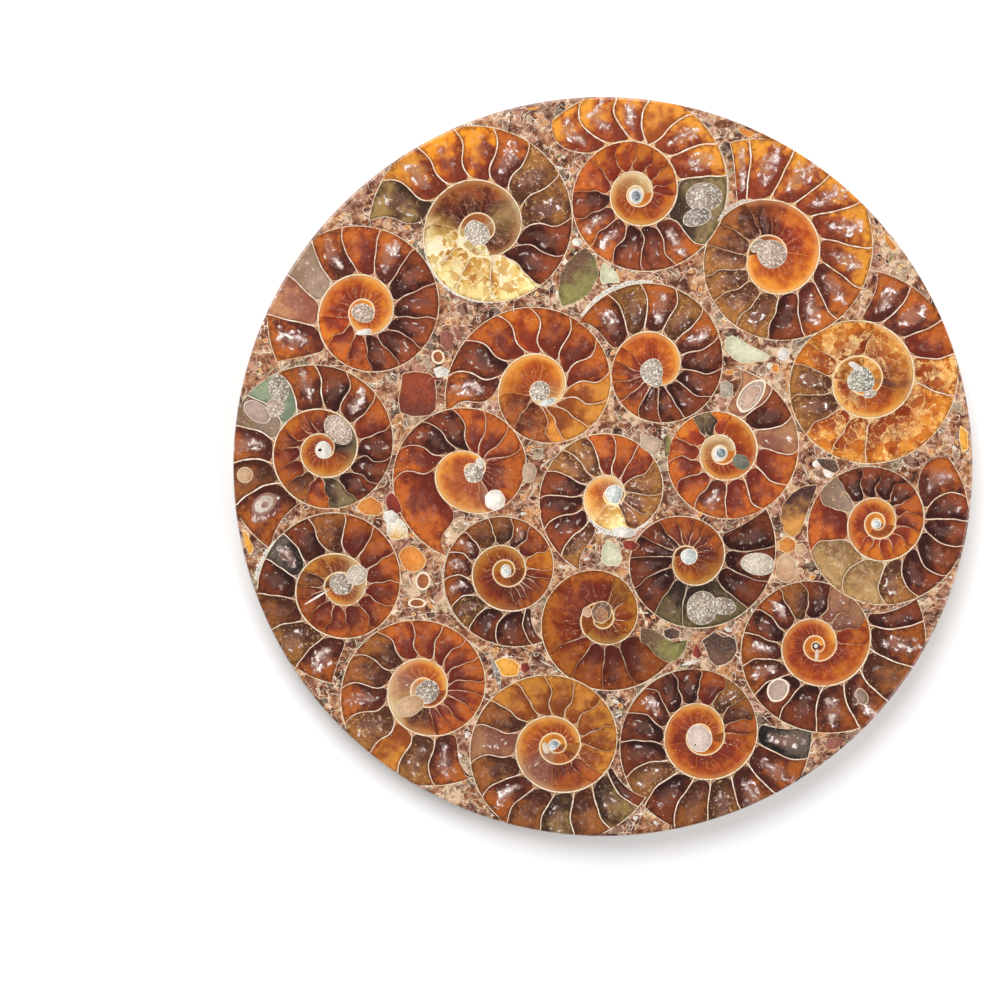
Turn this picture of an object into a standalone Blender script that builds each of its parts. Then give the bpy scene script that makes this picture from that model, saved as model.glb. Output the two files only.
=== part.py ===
"""Round polished plate of sliced ammonites set in a cement of crushed fossil.

Metres in Blender, +Z up. The plate rests on the plane z = 0 with its centre on
the Z axis, and its polished face is the top. Lengths written below are in mm.
"""

import math

import bmesh
import bpy
from mathutils import Vector

MM = 0.001

PLATE_DIAMETER = 110.0
PLATE_THICKNESS = 6.0
EDGE_BEVEL = 0.45          # polished arris round both faces
INLAY_FLOOR = 1.8          # cement left under every inlaid piece
GAP = 0.3                  # joint round an inlaid piece
UNDERCUT = 0.86            # outline of an inlay at its underside, against its face
RIM_SIDES = 120
OUTLINE_STEP = 9.0         # degrees between two points of a whorl outline

# Each slice: centre (x, y); the spiral angle in degrees of the first radius; the
# radius of the whorl line every quarter turn from there; the spiral angle at which
# the last chamber ends. Angles run anticlockwise from +X as the shell grows.
AMMONITES = {
    "ammonite_01": ((-18.4, 34.9), 270,
                    (3.3, 6.1, 7.7, 8.3, 10.4, 13.8, 15.8, 16.6), 894),
    "ammonite_02": ((-35.5, 23.0), 180,
                    (2.1, 3.3, 4.3, 5.5, 6.8, 8.9, 11.1, 12.8, 14.4), 935),
    "ammonite_03": ((-9.2, 11.2), 180,
                    (1.5, 2.1, 3.5, 5.5, 6.4, 7.7, 10.3, 12.5, 14.3), 910),
    "ammonite_04": ((-41.6, 2.6), 0,
                    (1.6, 2.2, 3.3, 4.2, 5.1, 5.9, 7.4, 8.9, 10.4, 12.5, 14.9), 960),
    "ammonite_05": ((5.1, 40.4), 0,
                    (2.1, 3.4, 4.0, 4.6, 5.9, 7.9, 9.7, 11.4, 13.4, 15.5), 867),
    "ammonite_06": ((24.8, 31.7), 180,
                    (3.1, 5.9, 7.4, 8.0, 9.8, 12.9, 15.3, 17.1), 832),
    "ammonite_07": ((38.4, 12.9), 180,
                    (4.2, 5.6, 7.8, 8.8, 10.7, 12.5, 14.4, 16.6), 803),
    "ammonite_08": ((7.6, 13.9), 270,
                    (1.6, 3.6, 6.1, 6.4, 7.4, 10.1, 13.4, 13.4), 865),
    "ammonite_09": ((17.5, 2.0), 0,
                    (2.1, 2.7, 3.1, 4.0, 5.4, 6.2, 7.9, 9.8, 11.6, 13.1), 795),
    "ammonite_10": ((-19.3, -0.2), 0,
                    (1.6, 2.2, 5.4, 6.8, 7.9, 8.9, 11.9, 14.3), 608),
    "ammonite_11": ((1.2, -4.2), 0,
                    (1.9, 2.8, 4.0, 5.4, 7.7, 9.1, 10.7, 12.8), 605),
    "ammonite_12": ((40.7, -8.4), 0,
                    (2.8, 3.7, 4.3, 5.6, 7.0, 8.4, 10.3, 12.2, 13.7, 15.5), 770),
    "ammonite_13": ((-14.3, -15.4), 0,
                    (2.7, 3.6, 5.1, 6.1, 7.0, 8.0, 9.4, 11.4, 13.4), 655),
    "ammonite_14": ((12.6, -13.3), 180,
                    (2.0, 4.2, 5.5, 5.9, 8.6, 10.7, 13.1, 14.6), 750),
    "ammonite_15": ((-0.3, -22.8), 180,
                    (2.8, 3.6, 5.4, 7.4, 8.9, 10.5, 13.1), 690),
    "ammonite_16": ((-38.6, -17.6), 180,
                    (2.8, 3.1, 3.4, 4.5, 7.0, 8.0, 8.5, 10.7, 12.8, 15.0), 985),
    "ammonite_17": ((31.8, -26.7), 0,
                    (2.8, 4.0, 5.2, 5.9, 7.9, 9.7, 11.3, 12.9, 16.2, 16.4), 745),
    "ammonite_18": ((-26.5, -33.2), 0,
                    (3.3, 4.6, 5.5, 6.8, 9.0, 10.4, 12.5, 14.3, 16.1), 657),
    "ammonite_19": ((-7.0, -41.4), 0,
                    (3.6, 4.2, 5.9, 7.0, 9.1, 10.4, 12.8, 14.4, 16.1), 690),
    "ammonite_20": ((14.7, -40.4), 0,
                    (3.1, 5.1, 5.6, 6.1, 8.2, 10.3, 12.2, 14.3, 16.4), 727),
}

# Broken pieces big enough to be set one by one: corners (x, y) of the face.
FRAGMENTS = {
    "calcite_block": [(-29.9, 13.9), (-24.7, 14.0), (-24.8, 8.1), (-25.9, 7.5),
                      (-29.6, 7.7), (-30.6, 10.3)],
    "pale_green_shard_1": [(18.0, 18.8), (19.6, 19.5), (23.3, 17.9), (25.3, 16.9),
                           (23.9, 15.5), (20.5, 15.5), (18.6, 16.6)],
    "pale_green_shard_2": [(0.4, -10.9), (2.4, -11.4), (3.9, -12.9), (3.7, -14.0),
                           (1.3, -14.9), (-0.1, -14.3)],
    "half_whorl": [(32.0, -2.7), (31.7, -3.7), (30.2, -6.9), (30.0, -8.6),
                   (28.2, -10.4), (26.3, -9.1), (25.4, -7.4), (26.3, -5.1),
                   (28.2, -3.5)],
    "tan_shard": [(26.3, -13.3), (27.9, -14.0), (29.0, -15.4), (28.5, -16.9),
                  (26.8, -17.3), (25.6, -16.1)],
    "yellow_shard": [(-16.2, -28.5), (-12.5, -28.6), (-11.9, -29.5), (-12.5, -31.1),
                     (-14.1, -31.3), (-15.5, -30.2)],
    "amber_shard_1": [(-35.9, -5.1), (-34.2, -4.5), (-32.7, -6.0), (-32.9, -7.6),
                      (-35.4, -7.2), (-36.8, -5.9)],
    "maroon_shard_1": [(-32.3, -4.1), (-30.6, -4.2), (-29.8, -6.7), (-31.5, -7.1),
                       (-32.2, -5.9)],
    "cream_shard": [(-32.2, -8.2), (-31.0, -7.5), (-28.9, -9.3), (-29.2, -10.7),
                    (-31.6, -10.9), (-31.9, -9.8)],
    "amber_shard_2": [(-30.2, -13.4), (-28.7, -12.3), (-26.5, -13.7), (-26.2, -15.4),
                      (-29.3, -15.7), (-30.3, -14.6)],
    "maroon_shard_2": [(14.6, -25.8), (15.9, -24.3), (19.4, -25.2), (20.1, -27.4),
                       (19.4, -29.2), (17.1, -28.9), (15.9, -27.4)],
    "grey_shard": [(17.4, 12.6), (18.6, 12.9), (19.5, 11.7), (19.1, 10.2),
                   (17.7, 10.2)],
}

CEMENT = (0.62, 0.42, 0.30, 1.0)
SHELL = (0.42, 0.16, 0.07, 1.0)
CHIP_COLOURS = {
    "calcite_block": (0.40, 0.10, 0.03, 1.0),
    "pale_green_shard_1": (0.62, 0.62, 0.45, 1.0),
    "pale_green_shard_2": (0.68, 0.70, 0.52, 1.0),
    "half_whorl": (0.25, 0.09, 0.05, 1.0),
    "tan_shard": (0.60, 0.42, 0.25, 1.0),
    "yellow_shard": (0.80, 0.45, 0.14, 1.0),
    "amber_shard_1": (0.68, 0.36, 0.14, 1.0),
    "maroon_shard_1": (0.34, 0.05, 0.04, 1.0),
    "cream_shard": (0.78, 0.62, 0.36, 1.0),
    "amber_shard_2": (0.72, 0.32, 0.10, 1.0),
    "maroon_shard_2": (0.30, 0.10, 0.07, 1.0),
    "grey_shard": (0.50, 0.44, 0.36, 1.0),
}

# A piece that grew into its neighbour's place is cut back to it: piece, neighbours.
CUT_BACK = {
    "ammonite_02": ("ammonite_01",),
    "ammonite_03": ("ammonite_08", "ammonite_10"),
    "ammonite_04": ("ammonite_02",),
    "ammonite_05": ("ammonite_01",),
    "ammonite_06": ("ammonite_05",),
    "ammonite_07": ("ammonite_06", "ammonite_09"),
    "ammonite_08": ("ammonite_09",),
    "ammonite_12": ("ammonite_07",),
    "ammonite_13": ("ammonite_11", "ammonite_15"),
    "ammonite_15": ("ammonite_14", "ammonite_19"),
    "ammonite_17": ("ammonite_12",),
    "ammonite_19": ("ammonite_20",),
    "ammonite_20": ("ammonite_15", "ammonite_17"),
    "calcite_block": ("ammonite_10",),
    "half_whorl": ("ammonite_12",),
    "amber_shard_1": ("ammonite_04",),
    "maroon_shard_1": ("ammonite_10",),
    "cream_shard": ("ammonite_10", "ammonite_16"),
    "amber_shard_2": ("ammonite_16",),
    "pale_green_shard_1": ("ammonite_08",),
    "pale_green_shard_2": ("ammonite_14",),
    "grey_shard": ("ammonite_08",),
    "tan_shard": ("ammonite_17",),
}


def new_collection(name):
    collection = bpy.data.collections.new(name)
    bpy.context.scene.collection.children.link(collection)
    return collection


def new_material(name, colour, roughness):
    material = bpy.data.materials.new(name)
    material.use_nodes = True
    shader = material.node_tree.nodes["Principled BSDF"]
    shader.inputs["Base Color"].default_value = colour
    shader.inputs["Roughness"].default_value = roughness
    return material


def whorl_radius(first_angle, radii, angle):
    """Radius at a spiral angle: a smooth curve through the logs of the radii."""
    logs = [math.log(radius) for radius in radii]
    logs = [2 * logs[0] - logs[1], *logs, 2 * logs[-1] - logs[-2]]
    place = (angle - first_angle) / 90.0 + 1.0
    start = min(max(int(place), 1), len(logs) - 3)
    f = place - start
    before, here, ahead, beyond = logs[start - 1 : start + 3]
    return math.exp(
        here
        + 0.5 * f * (ahead - before)
        + 0.5 * f**2 * (2 * before - 5 * here + 4 * ahead - beyond)
        + 0.5 * f**3 * (3 * here - before - 3 * ahead + beyond)
    )


def whorl_outline(centre, first_angle, radii, end):
    """Corners of a slice: its last full turn, closed by a step at the aperture."""
    steps = round(360.0 / OUTLINE_STEP)
    outline = []
    for step in range(steps + 1):
        angle = end - 360.0 + step * OUTLINE_STEP
        radius = whorl_radius(first_angle, radii, angle)
        direction = math.radians(angle)
        outline.append(
            Vector(centre)
            + radius * Vector((math.cos(direction), math.sin(direction)))
        )
    return outline


def grown(outline, distance):
    """The outline with each edge moved out by a distance."""
    corners = []
    for index, corner in enumerate(outline):
        back = (corner - outline[index - 1]).normalized()
        on = (outline[(index + 1) % len(outline)] - corner).normalized()
        normals = Vector((back.y, -back.x)), Vector((on.y, -on.x))
        reach = 1.0 + normals[0].dot(normals[1])
        corners.append(corner + distance * (normals[0] + normals[1]) / max(reach, 0.5))
    return corners


def tapered_prism(name, outline, centre, low, high, collection):
    """A slab of the outline between two heights, narrowing towards its underside."""
    curve = bpy.data.curves.new(name, "CURVE")
    curve.dimensions = "2D"
    curve.fill_mode = "BOTH"
    curve.extrude = (high - low) / 2.0 * MM
    spline = curve.splines.new("POLY")
    spline.use_cyclic_u = True
    spline.points.add(len(outline) - 1)
    for point, corner in zip(spline.points, outline):
        point.co = (corner.x * MM, corner.y * MM, 0.0, 1.0)
    guide = bpy.data.objects.new(name + "_outline", curve)
    guide.location.z = (high + low) / 2.0 * MM
    bpy.context.scene.collection.objects.link(guide)
    bpy.context.view_layer.update()
    graph = bpy.context.evaluated_depsgraph_get()
    mesh = bpy.data.meshes.new_from_object(guide.evaluated_get(graph))
    mesh.transform(guide.matrix_world)
    bpy.data.objects.remove(guide)

    shape = bmesh.new()
    shape.from_mesh(mesh)
    bmesh.ops.remove_doubles(shape, verts=shape.verts, dist=0.01 * MM)
    slope = (1.0 - UNDERCUT) / (PLATE_THICKNESS - INLAY_FLOOR)
    for vertex in shape.verts:
        width = 1.0 - slope * (PLATE_THICKNESS - vertex.co.z / MM)
        vertex.co.x = centre[0] * MM + (vertex.co.x - centre[0] * MM) * width
        vertex.co.y = centre[1] * MM + (vertex.co.y - centre[1] * MM) * width
    bmesh.ops.recalc_face_normals(shape, faces=shape.faces)
    shape.to_mesh(mesh)
    shape.free()
    mesh.materials.clear()
    piece = bpy.data.objects.new(name, mesh)
    collection.objects.link(piece)
    return piece


def add_boolean(piece, operation, other):
    modifier = piece.modifiers.new(f"{operation.lower()}_{other.name}", "BOOLEAN")
    modifier.operation = operation
    modifier.solver = "EXACT"
    modifier.object = other


def as_cutter(piece):
    piece.hide_render = True
    piece.display_type = "WIRE"
    return piece


def plate_blank(name, collection):
    """The plain plate: a disc with its two edges bevelled."""
    bpy.ops.mesh.primitive_cylinder_add(
        vertices=RIM_SIDES,
        radius=PLATE_DIAMETER / 2.0 * MM,
        depth=PLATE_THICKNESS * MM,
        location=(0.0, 0.0, PLATE_THICKNESS / 2.0 * MM),
    )
    blank = bpy.context.object
    blank.name = name
    for owner in list(blank.users_collection):
        owner.objects.unlink(blank)
    collection.objects.link(blank)
    bevel = blank.modifiers.new("arris", "BEVEL")
    bevel.width = EDGE_BEVEL * MM
    bevel.segments = 2
    bevel.limit_method = "ANGLE"
    return blank


def centre_of(outline):
    return sum(outline, Vector((0.0, 0.0))) / len(outline)


for old in list(bpy.data.objects):
    bpy.data.objects.remove(old, do_unlink=True)

plate = new_collection("ammonite_plate")
cutters = new_collection("cutters")
blank = as_cutter(plate_blank("blank", cutters))

outlines = {
    name: (whorl_outline(*shell), shell[0]) for name, shell in AMMONITES.items()
}
for name, corners in FRAGMENTS.items():
    outline = [Vector(corner) for corner in reversed(corners)]
    outlines[name] = (outline, centre_of(outline))

pockets = {}
for name, (outline, centre) in outlines.items():
    pockets[name] = as_cutter(
        tapered_prism(
            name + "_pocket",
            grown(outline, GAP),
            centre,
            INLAY_FLOOR,
            PLATE_THICKNESS + 1.0,
            cutters,
        )
    )

for name, (outline, centre) in outlines.items():
    inlay = tapered_prism(
        name, outline, centre, INLAY_FLOOR + GAP, PLATE_THICKNESS + 0.5, plate
    )
    add_boolean(inlay, "INTERSECT", blank)
    for neighbour in CUT_BACK.get(name, ()):
        add_boolean(inlay, "DIFFERENCE", pockets[neighbour])
    inlay.data.materials.append(
        new_material(name, CHIP_COLOURS.get(name, SHELL), 0.18)
    )

matrix = plate_blank("matrix", plate)
matrix.data.materials.append(new_material("matrix", CEMENT, 0.3))
for pocket in pockets.values():
    add_boolean(matrix, "DIFFERENCE", pocket)
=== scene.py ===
import math

import bpy
import numpy as np
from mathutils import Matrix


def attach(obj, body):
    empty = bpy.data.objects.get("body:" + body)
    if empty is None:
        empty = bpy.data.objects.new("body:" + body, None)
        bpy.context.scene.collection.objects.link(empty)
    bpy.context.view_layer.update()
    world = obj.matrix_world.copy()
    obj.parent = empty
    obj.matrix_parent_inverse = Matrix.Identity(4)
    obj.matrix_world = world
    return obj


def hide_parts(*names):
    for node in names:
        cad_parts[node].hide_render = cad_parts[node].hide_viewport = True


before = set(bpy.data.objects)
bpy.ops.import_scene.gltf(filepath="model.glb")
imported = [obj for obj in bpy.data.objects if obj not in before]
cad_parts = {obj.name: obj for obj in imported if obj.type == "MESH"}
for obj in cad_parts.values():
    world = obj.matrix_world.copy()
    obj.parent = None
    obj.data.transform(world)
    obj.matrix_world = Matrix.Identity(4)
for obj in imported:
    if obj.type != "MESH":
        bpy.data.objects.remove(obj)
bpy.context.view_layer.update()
print("frame loaded")

mm = 0.001

# Lengths below are in mm, and angles in degrees, anticlockwise from +X.
plate = {
    "radius": 55.0,
    "thickness": 6.0,
    "face": 5.99,         # polished face of the cement; stones stand up to 10 microns over it
    "bevel": 0.45,
    "inlayFloor": 1.8,    # cement left under the inlaid pieces
    "undercut": 0.86,     # width of an inlay at its underside
    "seam": 0.006,        # hairline between two pieces
    "rimSides": 240,
}

# Fillings of the chambers: the tones of the core, of the body, towards the outer wall and
# in the corners at the inner wall; then how cloudy, how grainy and how cracked each is.
fillings = {
    "d": ("32110c 552419 803c20 a86e46", 0.35, 0.1, 0),
    "r": ("642216 8a381c b45b22 bd7d4c", 0.15, 0.1, 0),
    "b": ("4a2417 713d23 99592a b08255", 0.2, 0.25, 0),
    "a": ("86401a a6581f cd8433 cf9858", 0.05, 0.15, 0),
    "o": ("9e4314 be5f1a d9872c d9a55e", 0, 0.1, 0),
    "e": ("802b17 a8421a ca6f24 c9874e", 0.05, 0.1, 0),
    "w": ("4a1f17 6d3020 a85721 b98250", 1, 0.25, 0),
    "m": ("6b2a19 a04a25 cf872d cf9d5c", 1, 0.2, 0),
    "x": ("4e2b1b 70432a 95602f b88a5c", 0.6, 1, 0),
    "y": ("b98a3c cda556 e0cd8c ecdcae", 0.2, 0.2, 1),
    "k": ("873814 ae581c d0852d dcb270", 0.1, 0.4, 0.75),
    "g": ("38291f 594634 7c6845 6e5c42", 0.25, 0.15, 0),
    "j": ("717c65 7f8a71 929a7c b0ac8e", 0.15, 0.1, 0),
    "s": ("987f6d 8c7361 856852 c8b18f", 0.3, 0.8, 0),
    "v": ("4e1e14 72311a a05325 b98250", 0.1, 0.3, 0.35),
    "c": ("b08853 c09865 cfae7e dcc69b", 0.1, 0.6, 0.1),
    "p": ("844d3c 986047 ab7753 c49a73", 0.5, 0.2, 0),
    "l": ("3a2519 62432b 9b7a48 a08258", 0.4, 0.3, 0),
    "n": ("201a19 3b302c 6a5c50 8c7c68", 1, 0.2, 0),
    "q": ("6e2a18 a4481a df8c22 d9a55e", 0.3, 0.15, 0),
    "t": ("85603c 9c7648 b08a58 d3bf98", 0.2, 1, 0.4),
}

# Each slice: its centre; how bright its last turn and its early whorls are; how bold its
# septa are, where that isn't 1; how many degrees back from the end the chambers stay clear,
# where that isn't a turn; the spiral angle of the first radius; the angle where the last
# chamber ends; the radius of the whorl line every quarter turn; the chambers, each as the
# angle of its far septum and its filling; and how far the septa near an angle sweep at the
# outer wall, at 0.65 and 0.3 of the height and at the inner wall.
ammonites = {
    "ammonite_01": dict(
        centre=(-18.4, 34.9), shade=(1.13, 0.79), bold=1.15, first=270, end=894,
        radii=(3.3, 6.1, 7.7, 8.3, 10.4, 13.8, 15.8, 16.6),
        rooms="390b 405c 450v 495v 535v 580y 610y 645y 680y 705d 728d 756x 780x 801w 824q 847q 871m 894l",
        sweeps={500: (1, -3, 1, -7)}),
    "ammonite_02": dict(
        centre=(-35.5, 23), shade=(1.19, 0.93), first=180, end=935,
        radii=(2.1, 3.3, 4.3, 5.5, 6.8, 8.9, 11.1, 12.8, 14.4),
        rooms="300o 400o 430o 460o 492e 520e 550e 583e 611r 636r 663d 690d 715d 743d 772d 800w 827r 851w "
              "877s 906p 935w",
        sweeps={560: (-3, -3, 2, 10), 590: (-2, 0, -2, -8), 830: (-2, 0, -2, -8), 855: (-5, -1, 5, 11)}),
    "ammonite_03": dict(
        centre=(-9.2, 11.2), shade=(1.06, 0.98), bold=1.2, first=180, end=910,
        radii=(1.5, 2.1, 3.5, 5.5, 6.4, 7.7, 10.3, 12.5, 14.3),
        rooms="360c 450o 545o 590v 640v 654a 682a 708a 732a 758r 785r 813r 836e 862r 887d 910w",
        sweeps={500: (5, -2, 3, -10)}),
    "ammonite_04": dict(
        centre=(-41.6, 2.6), shade=(0.94, 0.77), bold=1.25, clear=555, first=0, end=960,
        radii=(1.6, 2.2, 3.3, 4.2, 5.1, 5.9, 7.4, 8.9, 10.4, 12.5, 14.9),
        rooms="200e 270o 340o 380g 412g 442b 472r 492r 517e 538r 563r 587r 612b 634r 660g 685d 709d 736d "
              "762r 788w 812d 838w 862j 884s 908w 931b 960w",
        sweeps={450: (-3, 0, 1, -4), 600: (-3, 0, 1, 4), 640: (5, -1, 1, -6), 812: (5, -1, 1, -6),
                838: (3, 0, 1, 8)}),
    "ammonite_05": dict(
        centre=(5.1, 40.4), shade=(1.3, 0.85), bold=1.3, clear=512, first=0, end=867,
        radii=(2.1, 3.4, 4, 4.6, 5.9, 7.9, 9.7, 11.4, 13.4, 15.5),
        rooms="150c 240o 300o 360e 381e 405e 429e 454e 479e 507e 537r 563d 587w 611w 636d 659d 683w 735g "
              "759m 782m 806a 825m 848m 867m",
        sweeps={430: (0, -2, 2, -2), 454: (-10, -3, 4, 12), 507: (-10, -3, 4, 12), 540: (0, -2, 2, -2),
                720: (0, -2, 2, -2), 759: (-6, 0, 4, 15), 782: (-6, 0, 4, 15), 810: (-8, 0, -1, -10)}),
    "ammonite_06": dict(
        centre=(24.8, 31.7), shade=(1.18, 1), bold=1.2, first=180, end=832,
        radii=(3.1, 5.9, 7.4, 8, 9.8, 12.9, 15.3, 17.1),
        rooms="300o 360o 390e 420e 444r 474d 507b 534b 560x 583x 607x 631x 654d 677w 701w 725m 751m 773m "
              "798m 822m 832m",
        sweeps={450: (0, -1, 3, -4), 480: (-2, 0, 5, 12)}),
    "ammonite_07": dict(
        centre=(38.4, 12.9), shade=(1.11, 0.94), first=180, end=803,
        radii=(4.2, 5.6, 7.8, 8.8, 10.7, 12.5, 14.4, 16.6),
        rooms="280k 345o 365b 440k 505k 528k 557x 586x 610k 635k 712k 737k 759r 783w 803w",
        sweeps={500: (-1, -2, 2, 8)}),
    "ammonite_08": dict(
        centre=(7.6, 13.9), shade=(0.96, 1.01), first=270, end=865,
        radii=(1.6, 3.6, 6.1, 6.4, 7.4, 10.1, 13.4, 13.4),
        rooms="390o 430o 455e 480e 503e 528e 555r 582r 610r 638d 665d 695d 722d 748d 772w 794x 817w 839x "
              "865w",
        sweeps={500: (-5, -1, 4, 11), 600: (2, -2, 2, 5)}),
    "ammonite_09": dict(
        centre=(17.5, 2), shade=(1.07, 0.87), first=0, end=795,
        radii=(2.1, 2.7, 3.1, 4, 5.4, 6.2, 7.9, 9.8, 11.6, 13.1),
        rooms="180c 285o 355e 385e 410o 435o 460e 480g 490g 521e 547r 576r 604r 635w 664r 692r 720r 745p "
              "770d 795p",
        sweeps={500: (3, -1, 4, 9)}),
    "ammonite_10": dict(
        centre=(-19.3, -0.2), shade=(1.04, 1.06), bold=0.75, first=0, end=608,
        radii=(1.6, 2.2, 5.4, 6.8, 7.9, 8.9, 11.9, 14.3),
        rooms="285o 300p 380r 405r 434r 464r 493d 520d 545r 608r",
        sweeps={400: (6, -2, 3, -6)}),
    "ammonite_11": dict(
        centre=(1.2, -4.2), shade=(1.17, 1.06), first=0, end=605,
        radii=(1.9, 2.8, 4, 5.4, 7.7, 9.1, 10.7, 12.8),
        rooms="100c 240o 300y 330x 360x 395x 420r 445r 470r 494x 517x 541d 564d 588d 605x",
        sweeps={400: (3, -1, 3, 0)}),
    "ammonite_12": dict(
        centre=(40.7, -8.4), shade=(1.04, 0.91), clear=545, first=0, end=770,
        radii=(2.8, 3.7, 4.3, 5.6, 7, 8.4, 10.3, 12.2, 13.7, 15.5),
        rooms="110o 135e 165e 190e 212e 235e 258e 280e 303e 327e 351e 375r 398r 421d 447d 470d 494d 520s "
              "560r 600t 633t 656x 679d 703d 723d 743d 770w",
        sweeps={300: (-2, 0, 2, 2), 380: (-8, 0, 2, 3), 530: (-8, 0, 2, 3), 550: (4, -1, 2, 12),
                710: (4, -1, 2, 12), 740: (-8, 0, -1, -11)}),
    "ammonite_13": dict(
        centre=(-14.3, -15.4), shade=(0.71, 0.55), first=0, end=655,
        radii=(2.7, 3.6, 5.1, 6.1, 7, 8, 9.4, 11.4, 13.4),
        rooms="120o 180o 215e 230e 245e 260e 273r 285r 297r 309r 322r 335r 348r 360e 387o 419r 441w 468b "
              "497b 520w 546w 571w 596x 620d 646d 655d",
        sweeps={300: (-2, -1, 2, 2), 400: (3, 0, 2, 10)}),
    "ammonite_14": dict(
        centre=(12.6, -13.3), shade=(0.74, 0.62), bold=0.6, first=180, end=750,
        radii=(2, 4.2, 5.5, 5.9, 8.6, 10.7, 13.1, 14.6),
        rooms="260o 300o 340a 375r 398r 418r 440r 468r 490r 518d 541d 569d 600d 625g 678g 701d 725d 750d",
        sweeps={400: (1, 0, 0, 5)}),
    "ammonite_15": dict(
        centre=(-0.3, -22.8), shade=(0.57, 0.55), bold=0.3, first=180, end=690,
        radii=(2.8, 3.6, 5.4, 7.4, 8.9, 10.5, 13.1),
        rooms="260o 330a 360o 400o 430a 573e 603e 632r 658r 690r",
        sweeps={500: (1, -1, 4, 5)}),
    "ammonite_16": dict(
        centre=(-38.6, -17.6), shade=(0.87, 0.73), bold=1.1, clear=500, first=180, end=985,
        radii=(2.8, 3.1, 3.4, 4.5, 7, 8, 8.5, 10.7, 12.8, 15),
        rooms="260o 340a 430c 490a 523a 543b 557r 583r 608r 635r 667r 695r 724r 753r 781r 810r 838b 861d "
              "884n 908d 933b 961x 985w",
        sweeps={500: (0, -1, 2, -2), 800: (0, -1, 2, -3), 840: (1, -1, 2, -7), 858: (-2, -1, 3, 11),
                985: (-1, 0, 4, 9)}),
    "ammonite_17": dict(
        centre=(31.8, -26.7), shade=(0.8, 0.89), bold=1.35, first=0, end=745,
        radii=(2.8, 4, 5.2, 5.9, 7.9, 9.7, 11.3, 12.9, 16.2, 16.4),
        rooms="90o 120e 145e 170e 192e 215e 235e 260e 285e 310e 335e 362e 387e 412p 435p 461d 484b 508w "
              "530d 553w 577w 602d 629d 657w 682w 708b 732w 745d",
        sweeps={400: (1, 0, 2, 10)}),
    "ammonite_18": dict(
        centre=(-26.5, -33.2), shade=(1.02, 1.02), first=0, end=657,
        radii=(3.3, 4.6, 5.5, 6.8, 9, 10.4, 12.5, 14.3, 16.1),
        rooms="60o 120o 190p 235c 262b 285b 303r 322r 342r 357r 372r 394r 414r 436r 462r 486r 511b 536b "
              "561w 589x 612a 634x 657w",
        sweeps={400: (-5, 0, 2, -2), 480: (3, -2, 2, -6), 600: (2, -1, 4, -5), 634: (2, -1, 4, 8)}),
    "ammonite_19": dict(
        centre=(-7, -41.4), shade=(0.87, 0.82), first=0, end=690,
        radii=(3.6, 4.2, 5.9, 7, 9.1, 10.4, 12.8, 14.4, 16.1),
        rooms="60o 130o 200o 240p 263p 280r 296r 312r 331r 355a 380a 407a 433a 458a 482a 505a 526b 550p "
              "573b 596w 620b 642l 663b 683l 690d",
        sweeps={400: (1, -2, 2, -3), 530: (2, -2, 2, -7), 560: (3, -1, 3, 8), 690: (0, -1, 2, 10)}),
    "ammonite_20": dict(
        centre=(14.7, -40.4), shade=(0.81, 0.88), bold=1.2, first=0, end=727,
        radii=(3.1, 5.1, 5.6, 6.1, 8.2, 10.3, 12.2, 14.3, 16.4),
        rooms="60o 120o 150e 172e 195e 215e 235e 257e 280e 300e 322e 345e 366e 384r 406b 428x 452r 474d "
              "496d 519w 542d 565d 588x 611d 635b 660x 684w 708w 727n",
        sweeps={400: (2, -1, 2, 8)}),
}

# Where two shells press together, the later one here lies over the other by a hair.
stacking = ["ammonite_%02d" % number for number in
            (20, 17, 12, 7, 4, 6, 2, 13, 3, 8, 5, 1, 9, 10, 16, 18, 15, 11, 14, 19)]

coil = {
    "columnTurn": 5.0,     # most degrees between two columns
    "rows": (0, 0.03, 0.06, 0.1, 0.14, 0.19, 0.24, 0.3, 0.37, 0.44, 0.52, 0.6, 0.68, 0.76, 0.84, 0.91,
             0.96, 1),     # heights of the rows, from the inner whorl line to the outer one
    "sink": 0.05,          # how far the lowest slice lies under the cement's face
    "lap": 0.002,          # and how much higher each next one in the row above lies
    "waves": ((0.24, 7.0), (0.1, 15.0)),    # size in mm and quickness of the septa's waves
    "core": 0.12,          # radius of the pinhole in the middle, under the plug
    "lastTurn": 372,       # degrees of the last turn, with its aperture
    "ripening": 240,       # degrees over which the septa of the last turn grow bold
    "septum": 0.012,       # half width of the thinnest septum
    "walls": (0.1, 0.12, 0.13),    # shell wall at the middle, its growth outwards, and on clear chambers
    "extraEvery": 17.0,    # degrees between the extra septa of the first turn
}

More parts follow.
